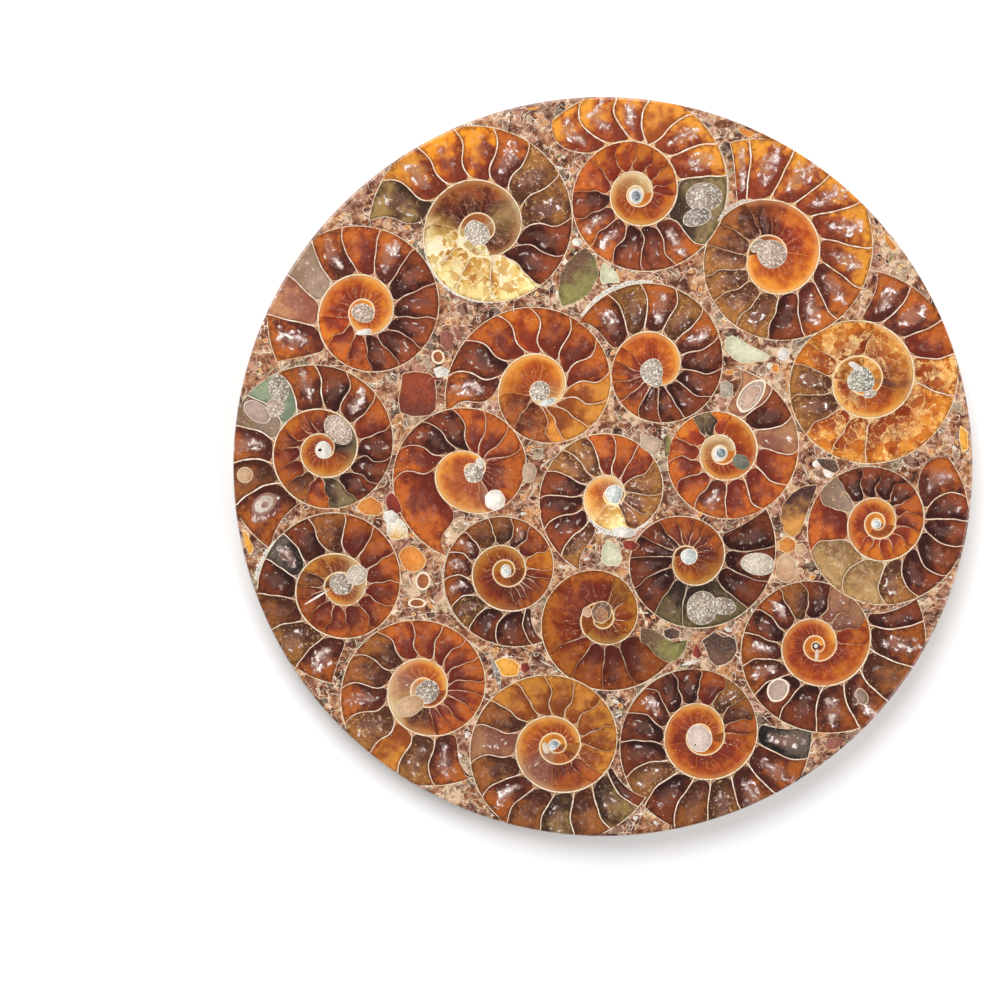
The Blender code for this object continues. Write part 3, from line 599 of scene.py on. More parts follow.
def coilPiece(name, shell, material, seeds):
    # Slab wound along the spiral. Its columns run from septum to septum and bend with
    # them, and its rows climb from the inner whorl line to the outer one. Each
    # column's ring goes over the face, down the outer side and back under.
    rooms = chambersOf(shell)
    starts, septa, turn, bow = (rooms[key] for key in ("starts", "septa", "turn", "bow"))
    first, end = turn - 360.0, float(shell["end"])
    firstReach, turnReach = whorlRadius(shell, [first, turn])
    blocks = []
    for index, (a, b) in enumerate(zip(starts, septa)):
        cuts = [a, turn, b] if a < turn < b else [a, b]
        blocks += [(c, d, index) for c, d in zip(cuts, cuts[1:])]
    rows = np.array(coil["rows"], float)
    levels = rimLevels()
    centre = np.array(shell["centre"])
    face = plate["face"] - coil["sink"] + coil["lap"] * stacking.index(name)
    phases = {septum: seeds.random(2) * 6.28 for septum in septa}

    def bend(angle, height, radius):
        # How far a column leans: bowed above the first turn and straight inside it, and
        # elsewhere by the sweep and two sine waves, which are smaller on grown septa.
        if angle in (first, turn):
            above = np.clip((radius - firstReach) / (turnReach - firstReach), 0, 1)
            return np.polyval(bow, above) - bow[2]
        phase = phases.get(angle, (0, 0))
        wave = sum(size * np.sin(rate * height + phase[i]) for i, (size, rate) in enumerate(coil["waves"]))
        reach = whorlRadius(shell, angle)
        young = 1.8 - 1.3 * min(max((angle - end + 360) / coil["ripening"], 0.0), 1.0)
        wave = wave * young * min(1.0, 0.12 * reach) * np.degrees(1 / reach)
        return sweepOf(shell, angle, height) + (wave if angle < end else 0)

    def lines(angle, inFan):
        # The two whorl lines. Inside the first turn the lower one is the pinhole.
        outer = whorlRadius(shell, angle)
        inner = np.minimum(whorlRadius(shell, angle - 360.0) + plate["seam"], outer - 0.05)
        return (0.0 * outer + coil["core"] if inFan else inner), outer

    points, faces, cornerPlaces, portions, owners = [], [], [], [], []
    count = 0
    for place, (a, b, index) in enumerate(blocks):
        inFan = b <= turn
        steps = max(2, math.ceil((b - a) / coil["columnTurn"]))
        mix = np.linspace(0.0, 1.0, steps + 1)[:, None]
        height = np.broadcast_to(rows, (steps + 1, len(rows))).copy()
        radius = np.linspace(*lines(np.array((a + b) / 2), inFan), len(rows))[None] + 0 * height
        # angle, radius and height depend on each other, so they are settled in a few rounds
        for _ in range(4):
            angle = (a + bend(a, height, radius)) * (1 - mix) + (b + bend(b, height, radius)) * mix
            inner, outer = lines(angle, inFan)
            reach = reachToRim(centre, angle, levels[0][0])
            radius = inner + rows * (np.minimum(outer, reach) - inner)
            height = (radius - inner) / (outer - inner)
        before, after = starts[index], septa[index]
        back = radius * np.radians(angle - before - bend(before, height, radius))
        ahead = radius * np.radians(after + bend(after, height, radius) - angle)
        flat = centre + radius[..., None] * direction(angle)
        ring = [np.concatenate([flat, 0 * radius[..., None] + face], axis=-1)]
        rim = angle[:, -1]
        # the wall follows the rim down to where its own slope leaves it
        share = reachToRim(centre, rim, plate["radius"]) / outer[:, -1]
        depth = plate["thickness"] - plate["inlayFloor"]
        leaves = plate["thickness"] - (1 - share) * depth / (1 - plate["undercut"])
        leaves = np.clip(leaves, plate["inlayFloor"] + 0.01, plate["thickness"] - plate["bevel"] - 0.01)
        for edge, level in levels[1:3] + [(plate["radius"], leaves)] + levels[3:]:
            wide = np.minimum(outer[:, -1] * narrowing(level), reachToRim(centre, rim, edge))
            side = centre + wide[:, None] * direction(rim)
            side = np.concatenate([side, 0 * side[:, :1] + np.reshape(level, (-1, 1))], axis=-1)
            ring.append(side[:, None])
        under = (centre + (flat - centre) * narrowing(levels[-1][1]))[:, -2::-1]
        ring.append(np.concatenate([under, 0 * under[..., :1] + levels[-1][1]], axis=-1))
        ring = np.concatenate(ring, axis=1)
        walls = [np.concatenate([f, np.repeat(f[:, -1:], len(levels), axis=1), f[:, -2::-1]], axis=1)
                 for f in (back, radius - inner, ahead, outer - radius)]
        walls = np.stack(walls, axis=-1)
        # a block goes on from the last column of the one before, but not round the first turn
        continues = place > 0 and not (a == turn and blocks[place - 1][1] == turn)
        base = count - 1 if continues else count
        points.append(ring[1:] if continues else ring)
        count = base + steps + 1
        wide = ring.shape[1]
        i, j = np.meshgrid(np.arange(steps), np.arange(wide), indexing="ij")
        k = (j + 1) % wide
        corners = [(i, j), (i, k), (i + 1, k), (i + 1, j)]
        quads = np.stack([(base + c) * wide + r for c, r in corners], axis=-1).reshape(-1, 4)
        faces += quads.tolist()
        cornerPlaces.append(np.stack([walls[c, r] for c, r in corners], axis=2).reshape(-1, 4))
        owners += [index] * len(quads)
        portion = ((a + (b - a) * mix[:, 0]) - before) / (after - before)
        portions.append(np.stack([portion[c] for c, _ in corners], axis=2).reshape(-1))
        # a cap is a strip from the face to the underside
        n = len(rows)
        strip = [[r, r + 1, wide - 2 - r, wide - 1 - r] for r in range(n - 2)] + [list(range(n - 2, n + 5))]
        caps = [] if continues else [(True, 0)]
        if place == len(blocks) - 1 or blocks[place + 1][0] == turn:
            caps.append((False, steps))
        for flip, column in caps:
            for order in strip:
                order = order[::-1] if flip else order
                faces.append([(base + column) * wide + r for r in order])
                cornerPlaces.append(walls[column, order])
                portions.append(np.full(len(order), portion[column]))
                owners.append(index)
    points = np.concatenate([p.reshape(-1, 3) for p in points])
    piece = finishMesh(name + "_slice", points, faces, material)
    places = np.concatenate(cornerPlaces)
    paintPairs(piece.data, "low", places[:, :2])
    paintPairs(piece.data, "high", places[:, 2:])
    paintChambers(piece.data, shell, rooms, np.array(owners), np.concatenate(portions), seeds)
    return piece


class Wire:
    # One value in a node tree. Operators on values add Math nodes.
    def __init__(self, tree, socket=None):
        self.tree, self.socket = tree, socket

    def new(self, kind, inputs=(), which=0, **settings):
        # An output of a new node. Its settings are set first, then its sockets.
        node = self.tree.nodes.new("ShaderNode" + kind)
        for key, value in settings.items():
            setattr(node, key, value)
        for key, value in dict(inputs).items():
            if isinstance(value, Wire):
                self.tree.links.new(value.socket, node.inputs[key])
            else:
                node.inputs[key].default_value = value
        return Wire(self.tree, node.outputs[which])

    def maths(self, operation, *values):
        return self.new("Math", enumerate(values), operation=operation)

    def step(self, low, high):
        # 0 below low, 1 above high, and smooth between. Low may be above high.
        inputs = {"Value": self, "From Min": low, "From Max": high}
        return self.new("MapRange", inputs, interpolation_type="SMOOTHSTEP")

    def mixed(self, other, share):
        # This colour, turned into the other one by a share.
        other = rgb(other) if isinstance(other, str) else other
        return self.new("Mix", {0: share, 6: self, 7: other}, 2, data_type="RGBA")

    def moved(self, by):
        return self.new("VectorMath", {0: self, 1: by}, operation="ADD")

    def scaled(self, by):
        return self.new("VectorMath", {0: self, "Scale": by}, operation="SCALE")

    def dot(self, other):
        return self.new("VectorMath", {0: self, 1: other}, 1, operation="DOT_PRODUCT")

    def parts(self):
        node = self.new("SeparateXYZ", {0: self}).socket.node
        return [Wire(self.tree, socket) for socket in node.outputs]

    def read(self, name):
        return self.new("Attribute", which=1, attribute_name=name)

    def noise(self, scale, detail=3.0, rough=0.55, distortion=0.0, which=0):
        inputs = {"Vector": self, "Scale": scale, "Detail": detail, "Roughness": rough,
                  "Distortion": distortion}
        return self.new("TexNoise", inputs, which)

    def cells(self, scale, feature="F1", which=0):
        return self.new("TexVoronoi", {"Vector": self, "Scale": scale}, which, feature=feature)

    def ownPlace(self, seed):
        # This place in a slice of the noise that belongs to one chamber or stone.
        return self.moved(self.new("CombineXYZ", {"Z": seed}))


def mathsMethod(operation, turned=False):
    # A method that adds one Math node, with its values turned round for a reflected one.
    def method(self, *others):
        values = (self, *others)
        return self.maths(operation, *(values[::-1] if turned else values))
    return method


operators = {"add": "ADD", "sub": "SUBTRACT", "mul": "MULTIPLY", "truediv": "DIVIDE"}
for name, operation in operators.items():
    setattr(Wire, f"__{name}__", mathsMethod(operation))
    setattr(Wire, f"__r{name}__", mathsMethod(operation, True))
methods = {"__pow__": "POWER", "size": "ABSOLUTE", "whole": "ROUND", "least": "MINIMUM", "most": "MAXIMUM"}
for name, operation in methods.items():
    setattr(Wire, name, mathsMethod(operation))


def newMaterial(name, roughness, coat=0.0, coatRoughness=0.03):
    # A material, its shader and the Object coordinates in mm.
    material = bpy.data.materials.new(name)
    material.use_nodes = True
    shader = material.node_tree.nodes["Principled BSDF"]
    for socket, value in {"Roughness": roughness, "Specular IOR Level": 0.3, "Coat Weight": coat,
                          "Coat Roughness": coatRoughness}.items():
        shader.inputs[socket].default_value = value
    place = Wire(material.node_tree).new("TexCoord", which=3)
    return material, shader, place.scaled(1000.0)


def feed(shader, **values):
    for name, value in values.items():
        value.tree.links.new(value.socket, shader.inputs[name.replace("_", " ")])


def fossilMaterial():
    # Each chamber holds its distances to its two septa and its two walls, which draw its
    # filling, its crystals and cracks, its septa and its shell walls on one polished face.
    material, shader, place = newMaterial("polishedFossil", 0.12, 0.25, 0.04)
    back, rise, _ = place.new("UVMap", uv_map="low").parts()
    ahead, fall, _ = place.new("UVMap", uv_map="high").parts()
    wide, tall = back + ahead, rise + fall
    u, v = back / wide, rise / tall
    core, body, outer, corner = (place.read(name) for name in ("core", "body", "outer", "corner"))
    cloud, grain, crack = place.read("traits").parts()
    thin, wall, seed = place.read("lines").parts()
    last, extra, ripe = place.read("last").parts()
    early = 1 - last
    # heights inside the nest of earlier whorls: its walls lie at v = nest and nest squared
    nest, fan, shown = place.read("nest").parts()
    nested = v.step(nest + 0.01, nest) * fan
    outside = 1 - nested
    far = (v - nest) / (1 - nest)
    whorlV = far.most(0.0) * outside + v / nest.most(0.05) * nested
    nestFall = (nest * tall - rise).size().least((nest * nest * tall - rise).size() + 0.03)
    # each chamber of the last whorl has its own noise
    own = place.ownPlace(seed * 37.0)
    soft = own.noise(0.45, 2.0, 0.5)
    broken = own.noise(0.95, 2.0, 0.55, 0.8)
    mottle = own.noise(1.3, 4.0)
    fine = own.noise(6.0, 4.0, 0.6)
    flame = own.noise(0.8, 3.0, 0.6, 1.2)
    drift, wobble, grit = soft - 0.5, mottle - 0.5, fine - 0.5
    size = wide.least(tall)

    def roundedIn(a, b, share):
        # Distance in from two sides whose corner is rounded by a share of the size.
        bend = (size * share).least(1.15)
        x, y = (bend - a).most(0.0), (bend - b).most(0.0)
        return bend - (x * x + y * y) ** 0.5

    above = (rise - nest * tall).most(0.0)
    inside = roundedIn(ahead, above, 0.75)
    for a, b, share in ((back, above, 0.45), (back, fall, 0.4), (ahead, fall, 0.25)):
        inside = inside.least(roundedIn(a, b, share))
    inside = inside - thin
    depth = inside / size
    # dark low and behind, amber high and ahead; early whorls go by height alone
    dusk = 1.05 - u * 0.45 * last - whorlV * (0.6 + early * 0.5) + drift * 1.5 + wobble * 0.4 - nested * 0.45
    amber = u * 0.35 * last + whorlV * 0.75 + early * 0.12 - drift * 1.5 + wobble * 0.35 + nested * 0.3
    colour = body.mixed(core, dusk.step(0.3, 0.85)).mixed(outer, amber.step(0.45, 0.95))
    # darker towards each chamber's edges in the last whorl, and patches of brighter and of deeper stone
    colour = colour.mixed(core.scaled(0.62), (depth + wobble * 0.3).step(0.12, 0.0) * 0.6 * last)
    colour = colour.mixed(outer.scaled(1.18), flame.step(0.54, 0.72) * (v + drift).step(0.35, 0.8) * 0.5)
    colour = colour.mixed(core.scaled(0.75), flame.step(0.44, 0.26) * 0.3)
    colour = colour.scaled(0.88 + wobble * 0.34 + grit * 0.2)
    # a crystal lining: a mauve core in a broken pale ring of crystal, whose pale haze is partly painted
    # highlight and whose glints are painted highlights
    x, y = (u - 0.5 + drift * 0.4) * 2.4, (v - 0.52 + wobble * 0.2) * 1.9
    ring = (x * x + y * y) ** 0.5
    colour = colour.mixed("8d665a", (ring + wobble * 0.6).step(0.75, 0.15) * (cloud * 0.55 + 0.05))
    arc = ((ring - 0.5 + wobble * 0.5) * 4.5).size()
    haze = arc.step(1.0, 0.1) * (broken + grit * 0.25).step(0.5, 0.66) * cloud
    painted_glint = arc.step(0.8, 0.1) * (broken + grit * 0.35).step(0.6, 0.68) * cloud.step(0.1, 0.6)
    colour = colour.mixed("c4aca4", haze * 0.7).mixed("f3ebe8", painted_glint * 0.9)
    # radial streaks of pale crystal, with painted highlights in their brightest parts
    across = ((u - 0.5 + drift * 0.7 + wobble * 0.3) * wide).size()
    along = (v + drift * 0.5).step(0.2, 0.4) * (v + wobble * 0.3).step(0.95, 0.75) * cloud.step(0.7, 0.95)
    streak = across.step(0.55, 0.1) * (along * outside) * (soft + wobble * 0.4).step(0.42, 0.56)
    colour = colour.mixed("cfb5ab", streak * (0.35 + fine * 0.5))
    colour = colour.mixed("f7f0ea", streak * (broken + grit * 0.9).step(0.5, 0.6) * 0.9)
    # grains of sand coloured crystal
    speckle = own.cells(4.5, which=1).dot((0.5, 0.5, 0.0))
    grains = speckle.step(0.52, 0.75) * (flame + grit * 0.6).step(0.5, 0.62) * grain
    colour = colour.mixed("cfa877", grains * 0.6)
    # calcite: rusty and white blocks, blotches of crystal, and cracks between the blocks
    veined = own.moved(own.noise(1.1, 4.0, 0.5, which=1).scaled(1.8))
    edges = veined.cells(0.6, "DISTANCE_TO_EDGE") + grit * 0.12
    cracks = edges.step(0.08, 0.0) * crack * broken.step(0.42, 0.56)
    shade = veined.cells(0.6, which=1).dot((0.6, 0.4, 0.0))
    rust = colour.new("VectorMath", {0: colour, 1: (0.72, 0.46, 0.3)}, operation="MULTIPLY")
    colour = colour.mixed(rust, (shade + drift * 0.5).step(0.44, 0.3) * crack.step(0.3, 0.8) * 0.75)
    colour = colour.mixed("eee3cb", shade.step(0.62, 0.74) * crack.step(0.74, 1.0) * (0.3 + soft * 0.6))
    blotch = (shade + grit * 1.1 + wobble * 0.9).step(0.6, 0.85)
    blotch = blotch * crack.step(0.3, 0.7) * crack.step(0.95, 0.8)
    crystal = corner.mixed("e9cf92", (fine + (flame - 0.5) * 0.8).step(0.45, 0.6))
    colour = colour.mixed(crystal, blotch * (0.25 + broken.step(0.4, 0.6) * 0.45)).mixed(corner, cracks * 0.8)
    # thin extra septa of the first turn: curled lines across each room
    spread = u * extra + wobble * 2.2 + drift * 0.8
    gap = (spread - spread.whole()).size() * wide / extra
    frill = gap.step(0.06, 0.015) * extra.step(1.0, 1.5) * outside * whorlV.step(0.74, 0.5)
    colour = colour.mixed("c58a6e", frill * (soft + grit * 0.5).step(0.36, 0.5) * 0.6)
    # halo inside the walls of the early whorls
    halo = (fall + wobble * 0.5) / (tall * 0.32).least(1.1)
    colour = colour.mixed(corner.scaled(1.05), halo.step(1.0, 0.1) * early * 0.62)
    # pale corners at the inner wall, amber ones at the outer wall
    inner = far.step(0.6, 0.35) * last * outside
    gusset = (depth + wobble * 0.12).step(0.02, -0.03) * inner
    colour = colour.mixed(corner.scaled(0.55 + mottle * 0.5 + fine * 0.3), gusset * 0.8)
    brow = (depth + wobble * 0.2).step(0.03, -0.04) * far.step(0.5, 0.7) * last * outside
    colour = colour.mixed(outer.scaled(1.15), brow * 0.65)
    curl = (inside + grit * 0.08).size().step(0.07, 0.02) * inner
    colour = colour.mixed("e3c3a8", curl * broken.step(0.4, 0.55) * 0.7)
    # white specks
    rare = own.cells(2.1, which=1).parts()[0]
    colour = colour.mixed("ecd9cb", own.cells(2.1).step(0.16, 0.06) * rare.step(0.8, 0.82) * (0.35 + flame))
    # septa: bright stretches in the last whorl, fading towards the outer wall in the early ones
    near = back.least(ahead)
    # painted shadow: the chamber is darkened beside each septum of the last whorl
    colour = colour.scaled(1 - near.step(0.4, 0.05) * last * (0.1 + ripe * 0.18))
    line = (near + grit * 0.04).step(thin + 0.035, thin - 0.02)
    nacre = corner.mixed("bd8669", last * 0.8).mixed("e3c3a8", ripe.step(0.05, 0.5) * last * 0.85)
    nacre = nacre.mixed("f6ebdf", broken.step(0.5, 0.6) * ripe * 0.9)
    low = whorlV.step(0.9, 0.5)
    faded = (low * early + (low + ripe * 2.5).least(1.0) * last) * outside
    colour = colour.mixed(nacre, line * faded * shown * (0.5 - last * 0.1 + ripe * 0.5).least(0.95))
    # shell walls, with a brown underline
    skin = fall.least(rise * (1.7 - early * 0.5)) + grit * 0.06 + wobble * 0.06
    colour = colour.scaled(1 - skin.step(wall + 0.2, wall) * 0.3)
    shell = skin.step(wall + 0.03, wall - 0.06)
    worn = {0: broken.step(0.5, 0.62) * 0.75, 6: rgb("ecd9bb"), 7: rgb("b58a68")}
    colour = colour.mixed(place.new("Mix", worn, 2, data_type="RGBA"), shell * 0.9)
    # the walls of the nested whorls, with a pale halo inside each
    colour = colour.mixed(corner, (nestFall + wobble * 0.15).step(0.45, 0.05) * nested * 0.5)
    nestWall = (nestFall + grit * 0.05).step(0.13, 0.06) * fan
    colour = colour.mixed("e6cfa9", nestWall * 0.85)
    gloss = 0.1 + shell.most(nestWall) * 0.12 + grains * 0.15 + grit * 0.06
    feed(shader, Base_Color=colour, Roughness=gloss)
    return material


def cementMaterial():
    # Broken bits in two sizes on a mottled ground, crossed by splinters of shell.
    material, shader, place = newMaterial("fossilCement", 0.25, 0.25, 0.06)
    drift = place.noise(0.5, 4.0, 0.5, which=1)
    bent, easy = place.moved(drift.scaled(2.6)), place.moved(drift.scaled(0.7))
    soft = place.noise(0.3, 3.0)
    mottle = place.noise(0.9, 5.0, 0.58)
    fine = place.noise(5.0, 4.0, 0.6)
    wobble, grit = mottle - 0.5, fine - 0.5

    def toned(value, stops, steps="LINEAR"):
        colour = value.new("ValToRGB", {"Fac": value})
        ramp = colour.socket.node.color_ramp
        ramp.interpolation = steps
        for index, (stop, text) in enumerate(stops):
            point = ramp.elements[index] if index < 2 else ramp.elements.new(stop)
            point.position, point.color = stop, rgb(text)
        return colour

    # translucent pinkish ground
    ground = [(0.3, "35160c"), (0.43, "70402a"), (0.55, "a06e4c"), (0.72, "cfaa85")]
    colour = toned(mottle + (soft - 0.5) * 0.5, ground)
    # broken bits in two sizes, with ragged pale rims
    tones = "5e2a1a 8a4c33 b4743c 3d1f16 c8a684 8f7a60 78402a a8705a 6b3a28 9a6048".split()
    tones = [(index / len(tones), text) for index, text in enumerate(tones)]
    for scale, share, shift in ((0.28, 0.45, 0.0), (0.6, 0.66, 31.0)):
        moved = bent.moved((shift, shift, 0.0))
        chip, pick, _ = moved.cells(scale, which=1).parts()
        edge = moved.cells(scale, "DISTANCE_TO_EDGE") + wobble * 0.12 + grit * 0.03
        bit = toned(pick, tones, "CONSTANT")
        bit = bit.mixed(bit.scaled(0.55), (mottle + grit * 0.4).step(0.56, 0.42))
        chosen = chip.step(share, share + 0.01)
        colour = colour.mixed("d5bda2", edge.step(0.03, 0.06) * chosen * mottle.step(0.42, 0.55) * 0.85)
        colour = colour.mixed(bit, edge.step(0.06, 0.1) * chosen * 0.8)
    # splinters of shell: where a bent noise crosses its middle, in broken lengths
    for scale, limit, shift in ((0.5, 0.012, 5.0), (0.8, 0.016, 17.0), (0.3, 0.008, 29.0)):
        level = easy.moved((shift, -shift, 0.0)).noise(scale, 0.0)
        splinter = (level - 0.5).size().step(limit, limit * 0.35)
        lengths = place.moved((-shift, shift, 0.0)).noise(0.7, 2.0).step(0.5, 0.56)
        colour = colour.mixed("e6d6c0", splinter * lengths * 0.85)
    colour = colour.mixed("efe5d8", (fine + wobble * 0.9).step(0.76, 0.8) * 0.7)
    colour = colour.mixed("3c1c13", (fine - wobble * 0.9).step(0.29, 0.21) * 0.7)
    bump = place.new("Bump", {"Strength": 0.2, "Distance": 0.00003, "Height": fine})
    feed(shader, Base_Color=colour, Roughness=0.16 + fine.step(0.4, 0.6) * 0.18, Normal=bump)
    return material


def stoneMaterial():
    # Two tones mixed across each stone, grains of sand in it and a rim round it.
    material, shader, place = newMaterial("inlaidStone", 0.16, 0.3, 0.05)
    edge, slant, _ = place.new("UVMap", uv_map="stone").parts()
    toneA, toneB, rimTone = (place.read(name) for name in ("toneA", "toneB", "rimTone"))
    rim, grit, seed = place.read("make").parts()
    own = place.ownPlace(seed * 41.0)
    soft, mottle, fine = own.noise(0.5, 3.0), own.noise(1.8, 5.0, 0.6), own.noise(6.5, 4.0, 0.65)
    colour = toneA.mixed(toneB, (slant + (soft - 0.5) * 1.3).step(0.2, 0.85))
    # painted light: each stone glows brighter towards its middle and is shaded at its edge, while mottle and
    # grain vary its tone
    painted_glow_and_mottle = 0.66 + edge.step(0.0, 1.4) * 0.22 + mottle.step(0.3, 0.75) * 0.28 + (fine - 0.5) * 0.3
    pick = own.cells(6.0, which=1).dot((0.6, 0.4, 0.0))
    colour = colour.scaled(painted_glow_and_mottle).mixed("f2ebe2", pick.step(0.6, 0.8) * grit * 0.75)
    colour = colour.mixed("5b4f48", pick.step(0.36, 0.2) * grit * 0.7)
    ragged = edge + (fine - 0.5) * 0.16 + (mottle - 0.5) * 0.25 * rim.step(0.15, 0.3)
    line = ragged.step(rim + 0.03, rim - 0.04)
    colour = colour.mixed(rimTone, line * rim.step(0.0, 0.04) * 0.9)
    feed(shader, Base_Color=colour, Roughness=0.12 + grit * 0.2 + (fine - 0.5) * 0.08)
    return material


def tube(columns, rows):
    # Faces of a closed tube of columns: its quads, and a fan onto each of the two end
    # points that follow the grid.
    i, j = np.meshgrid(np.arange(columns), np.arange(rows - 1), indexing="ij")
    k = (i + 1) % columns
    quads = [i * rows + j, i * rows + j + 1, k * rows + j + 1, k * rows + j]
    i, k = i[:, 0] * rows, k[:, 0] * rows
    top, low = [i, k, 0 * i + columns * rows], [k + rows - 1, i + rows - 1, 0 * i + columns * rows + 1]
    return [np.stack(faces, axis=-1).reshape(-1, len(faces)) for faces in (quads, top, low)]


def revolve(name, profile, sides, material):
    # A profile of (radius, height) turned about the axis, with its ends on the axis.
    profile = np.array(profile, float)
    inner = profile[1:-1]
    ring = direction(np.arange(sides) * 360.0 / sides)[:, None, :] * inner[None, :, :1]
    high = np.broadcast_to(inner[None, :, 1:], ring.shape[:2] + (1,))
    points = np.concatenate([ring, high], axis=-1).reshape(-1, 3)
    ends = [[0, 0, profile[0, 1]], [0, 0, profile[-1, 1]]]
    quads, top, low = (faces.tolist() for faces in tube(sides, len(inner)))
    return finishMesh(name, np.concatenate([points, ends]), quads + top + low, material)


def pocketFor(name, outline, centre, material):
    # An upright wall on an outline, narrowing downwards, with flat ends.
    levels = np.array([plate["thickness"] + 0.5, plate["inlayFloor"]])
    ring = centre + (outline - centre)[:, None, :] * narrowing(levels)[None, :, None]
    tall = np.broadcast_to(levels[None, :, None], ring.shape[:2] + (1,))
    points = np.concatenate([ring, tall], axis=-1).reshape(-1, 3)
    count = len(outline)
    ends = [list(range(0, 2 * count, 2)), list(range(2 * count - 1, 0, -2))]
    return finishMesh(name + "_pocket", points, tube(count, 2)[0].tolist() + ends, material)


def rounded(corners, times=2):
    # Corners cut off by a tenth of each edge, again and again, and held inside the rim.
    outline = np.array(corners, float)
    for _ in range(times):
        following = np.roll(outline, -1, axis=0)
        outline = np.stack([0.9 * outline + 0.1 * following, 0.1 * outline + 0.9 * following], axis=1)
        outline = outline.reshape(-1, 2)
    reach = np.linalg.norm(outline, axis=1, keepdims=True)
    return outline * np.minimum(1.0, (plate["radius"] - plate["bevel"] - 0.1) / reach)


def pebble(x, y, long, wide, turn, seeds, sides=28, rough=0.07):
    # An ellipse whose radius wavers by a few sines.
    angle = np.arange(sides) * 360.0 / sides
    waver = sum(
        seeds.normal(0, rough / order) * np.cos(np.radians(order * angle) + seeds.uniform(0, 6.28))
        for order in (2, 3, 5, 7)
    )
    shape = direction(angle) * (long, wide) * (1 + waver)[:, None]
    c, n = direction(turn)
    return (x, y) + shape @ np.array([[c, n], [-n, c]])


def splinter(x, y, endX, endY, wide, bow):
    # A thin bowed lens between two ends.
    along = np.linspace(0, 1, 6)
    way = np.array([endX - x, endY - y])
    across = np.array([-way[1], way[0]]) / np.hypot(*way)
    spine = np.array([x, y]) + along[:, None] * way + (bow * 4 * along * (1 - along))[:, None] * across
    half = 0.5 * wide * np.sin(np.pi * np.clip(along, 0.06, 0.94))[:, None] * across
    return np.concatenate([spine - half, (spine + half)[::-1]])


def crust(shell, start, end, wide, stone, seeds):
    # Grains set side by side along the outside of the whorl line.
    reach = float(whorlRadius(shell, (start + end) / 2))
    grains = []
    for angle in np.linspace(start, end, int(math.radians(end - start) * reach / grain["spacing"])):
        swell = math.sin(math.pi * min(max((angle - start) / (end - start), 0.08), 0.92)) ** 0.5
        half = 0.5 * wide * swell * seeds.uniform(*grain["spread"])
        x, y = shell["centre"] + (float(whorlRadius(shell, angle)) + half - grain["sunk"]) * direction(angle)
        if math.hypot(x, y) <= plate["radius"] - plate["bevel"] - grain["toBevel"]:
            length = seeds.uniform(*grain["length"])
            outline = pebble(x, y, half, length, angle, seeds, grain["sides"], grain["rough"])
            grains.append(dict(outline=outline, stone=stone))
    return grains


def stoneMesh(name, specs, material, seeds):
    # Closed slabs. Each is rings of its outline drawn in towards its middle.
    rings = np.array([0.0, 0.3, 0.6, 0.82, 1.0])
    points, faces, places, owners = [], [], [], []
    count = 0
    for owner, spec in enumerate(specs):
        outline = np.asarray(spec["outline"], float)
        x, y = outline.T
        if np.sum(x * np.roll(y, -1) - np.roll(x, -1) * y) < 0:
            outline = outline[::-1]
        middle = outline.mean(axis=0)
        arm = outline - middle
        top = middle + arm[:, None, :] * rings[None, 1:, None]
        under = middle + arm[:, None, :] * np.array([spec.get("undercut", 0.97), 0.3])[None, :, None]
        flat = np.concatenate([top, under], axis=1)
        n, m = flat.shape[:2]
        high = np.array([spec["high"]] * (len(rings) - 1) + [spec["low"]] * 2)
        grid = np.concatenate([flat, np.broadcast_to(high[None, :, None], (n, m, 1))], axis=-1).reshape(-1, 3)
        ends = np.array([[*middle, spec["high"]], [*middle, spec["low"]]])
        points += [grid, ends]
        quads, fan, low = ((part + count).tolist() for part in tube(n, m))
        faces += quads + low + [face[2:] + face[:2] for face in fan]
        reach = np.linalg.norm(arm, axis=1).mean()
        inward = reach * np.concatenate([1 - rings[1:], [0.0, 1.0]])
        edge = np.concatenate([np.tile(inward, n), [reach, reach]])
        lean = direction(spec.get("turn", 0))
        slant = np.concatenate([grid[:, :2], ends[:, :2]]) - middle
        slant = 0.5 + 0.5 * (slant @ lean) / max(np.abs(arm @ lean).max(), 1e-6)
        places.append(np.stack([edge, slant], axis=-1))
        owners += [owner] * (len(quads) + 2 * n)
        count += n * m + 2
    piece = finishMesh(name, np.concatenate(points), faces, material)
    mesh = piece.data
    index = np.empty(len(mesh.loops), np.int32)
    mesh.loops.foreach_get("vertex_index", index)
    paintPairs(mesh, "stone", np.concatenate(places)[index])
    kinds = [stones[spec["stone"]] for spec in specs]
    for order, label in enumerate(("toneA", "toneB", "rimTone")):
        paint(mesh, label, np.array([tone(tones.split()[order]) for tones, _, _ in kinds])[owners])
    make = np.array([[rim, grit, seeds.random()] for _, rim, grit in kinds])
    paint(mesh, "make", make[owners])
    return piece


def within(points, outline):
    # Even-odd rule: an odd count of edges to the right of a point puts it inside.
    x, y = points[:, :1], points[:, 1:]
    ax, ay = outline.T
    bx, by = np.roll(outline, -1, axis=0).T
    level = np.where(by == ay, 1e-9, by - ay)
    crosses = ((ay > y) != (by > y)) & (x < ax + (y - ay) / level * (bx - ax))
    return crosses.sum(axis=1) % 2 == 1


def freeSpots(count, margin, outlines, seeds):
    # Random places in the cement, clear of every outline grown by the margin.
    spread = np.sqrt(seeds.random(count * 16)) * (plate["radius"] - margin - 0.6)
    spots = spread[:, None] * direction(seeds.random(count * 16) * 360.0)
    taken = np.zeros(len(spots), bool)
    for outline in outlines:
        taken |= within(spots, outline)
        taken |= np.linalg.norm(spots[:, None] - outline[None, ::2], axis=-1).min(axis=1) < margin
    return spots[~taken][:count]


def settle(piece, node):
    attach(piece, "root")
    if node:
        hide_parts(node)


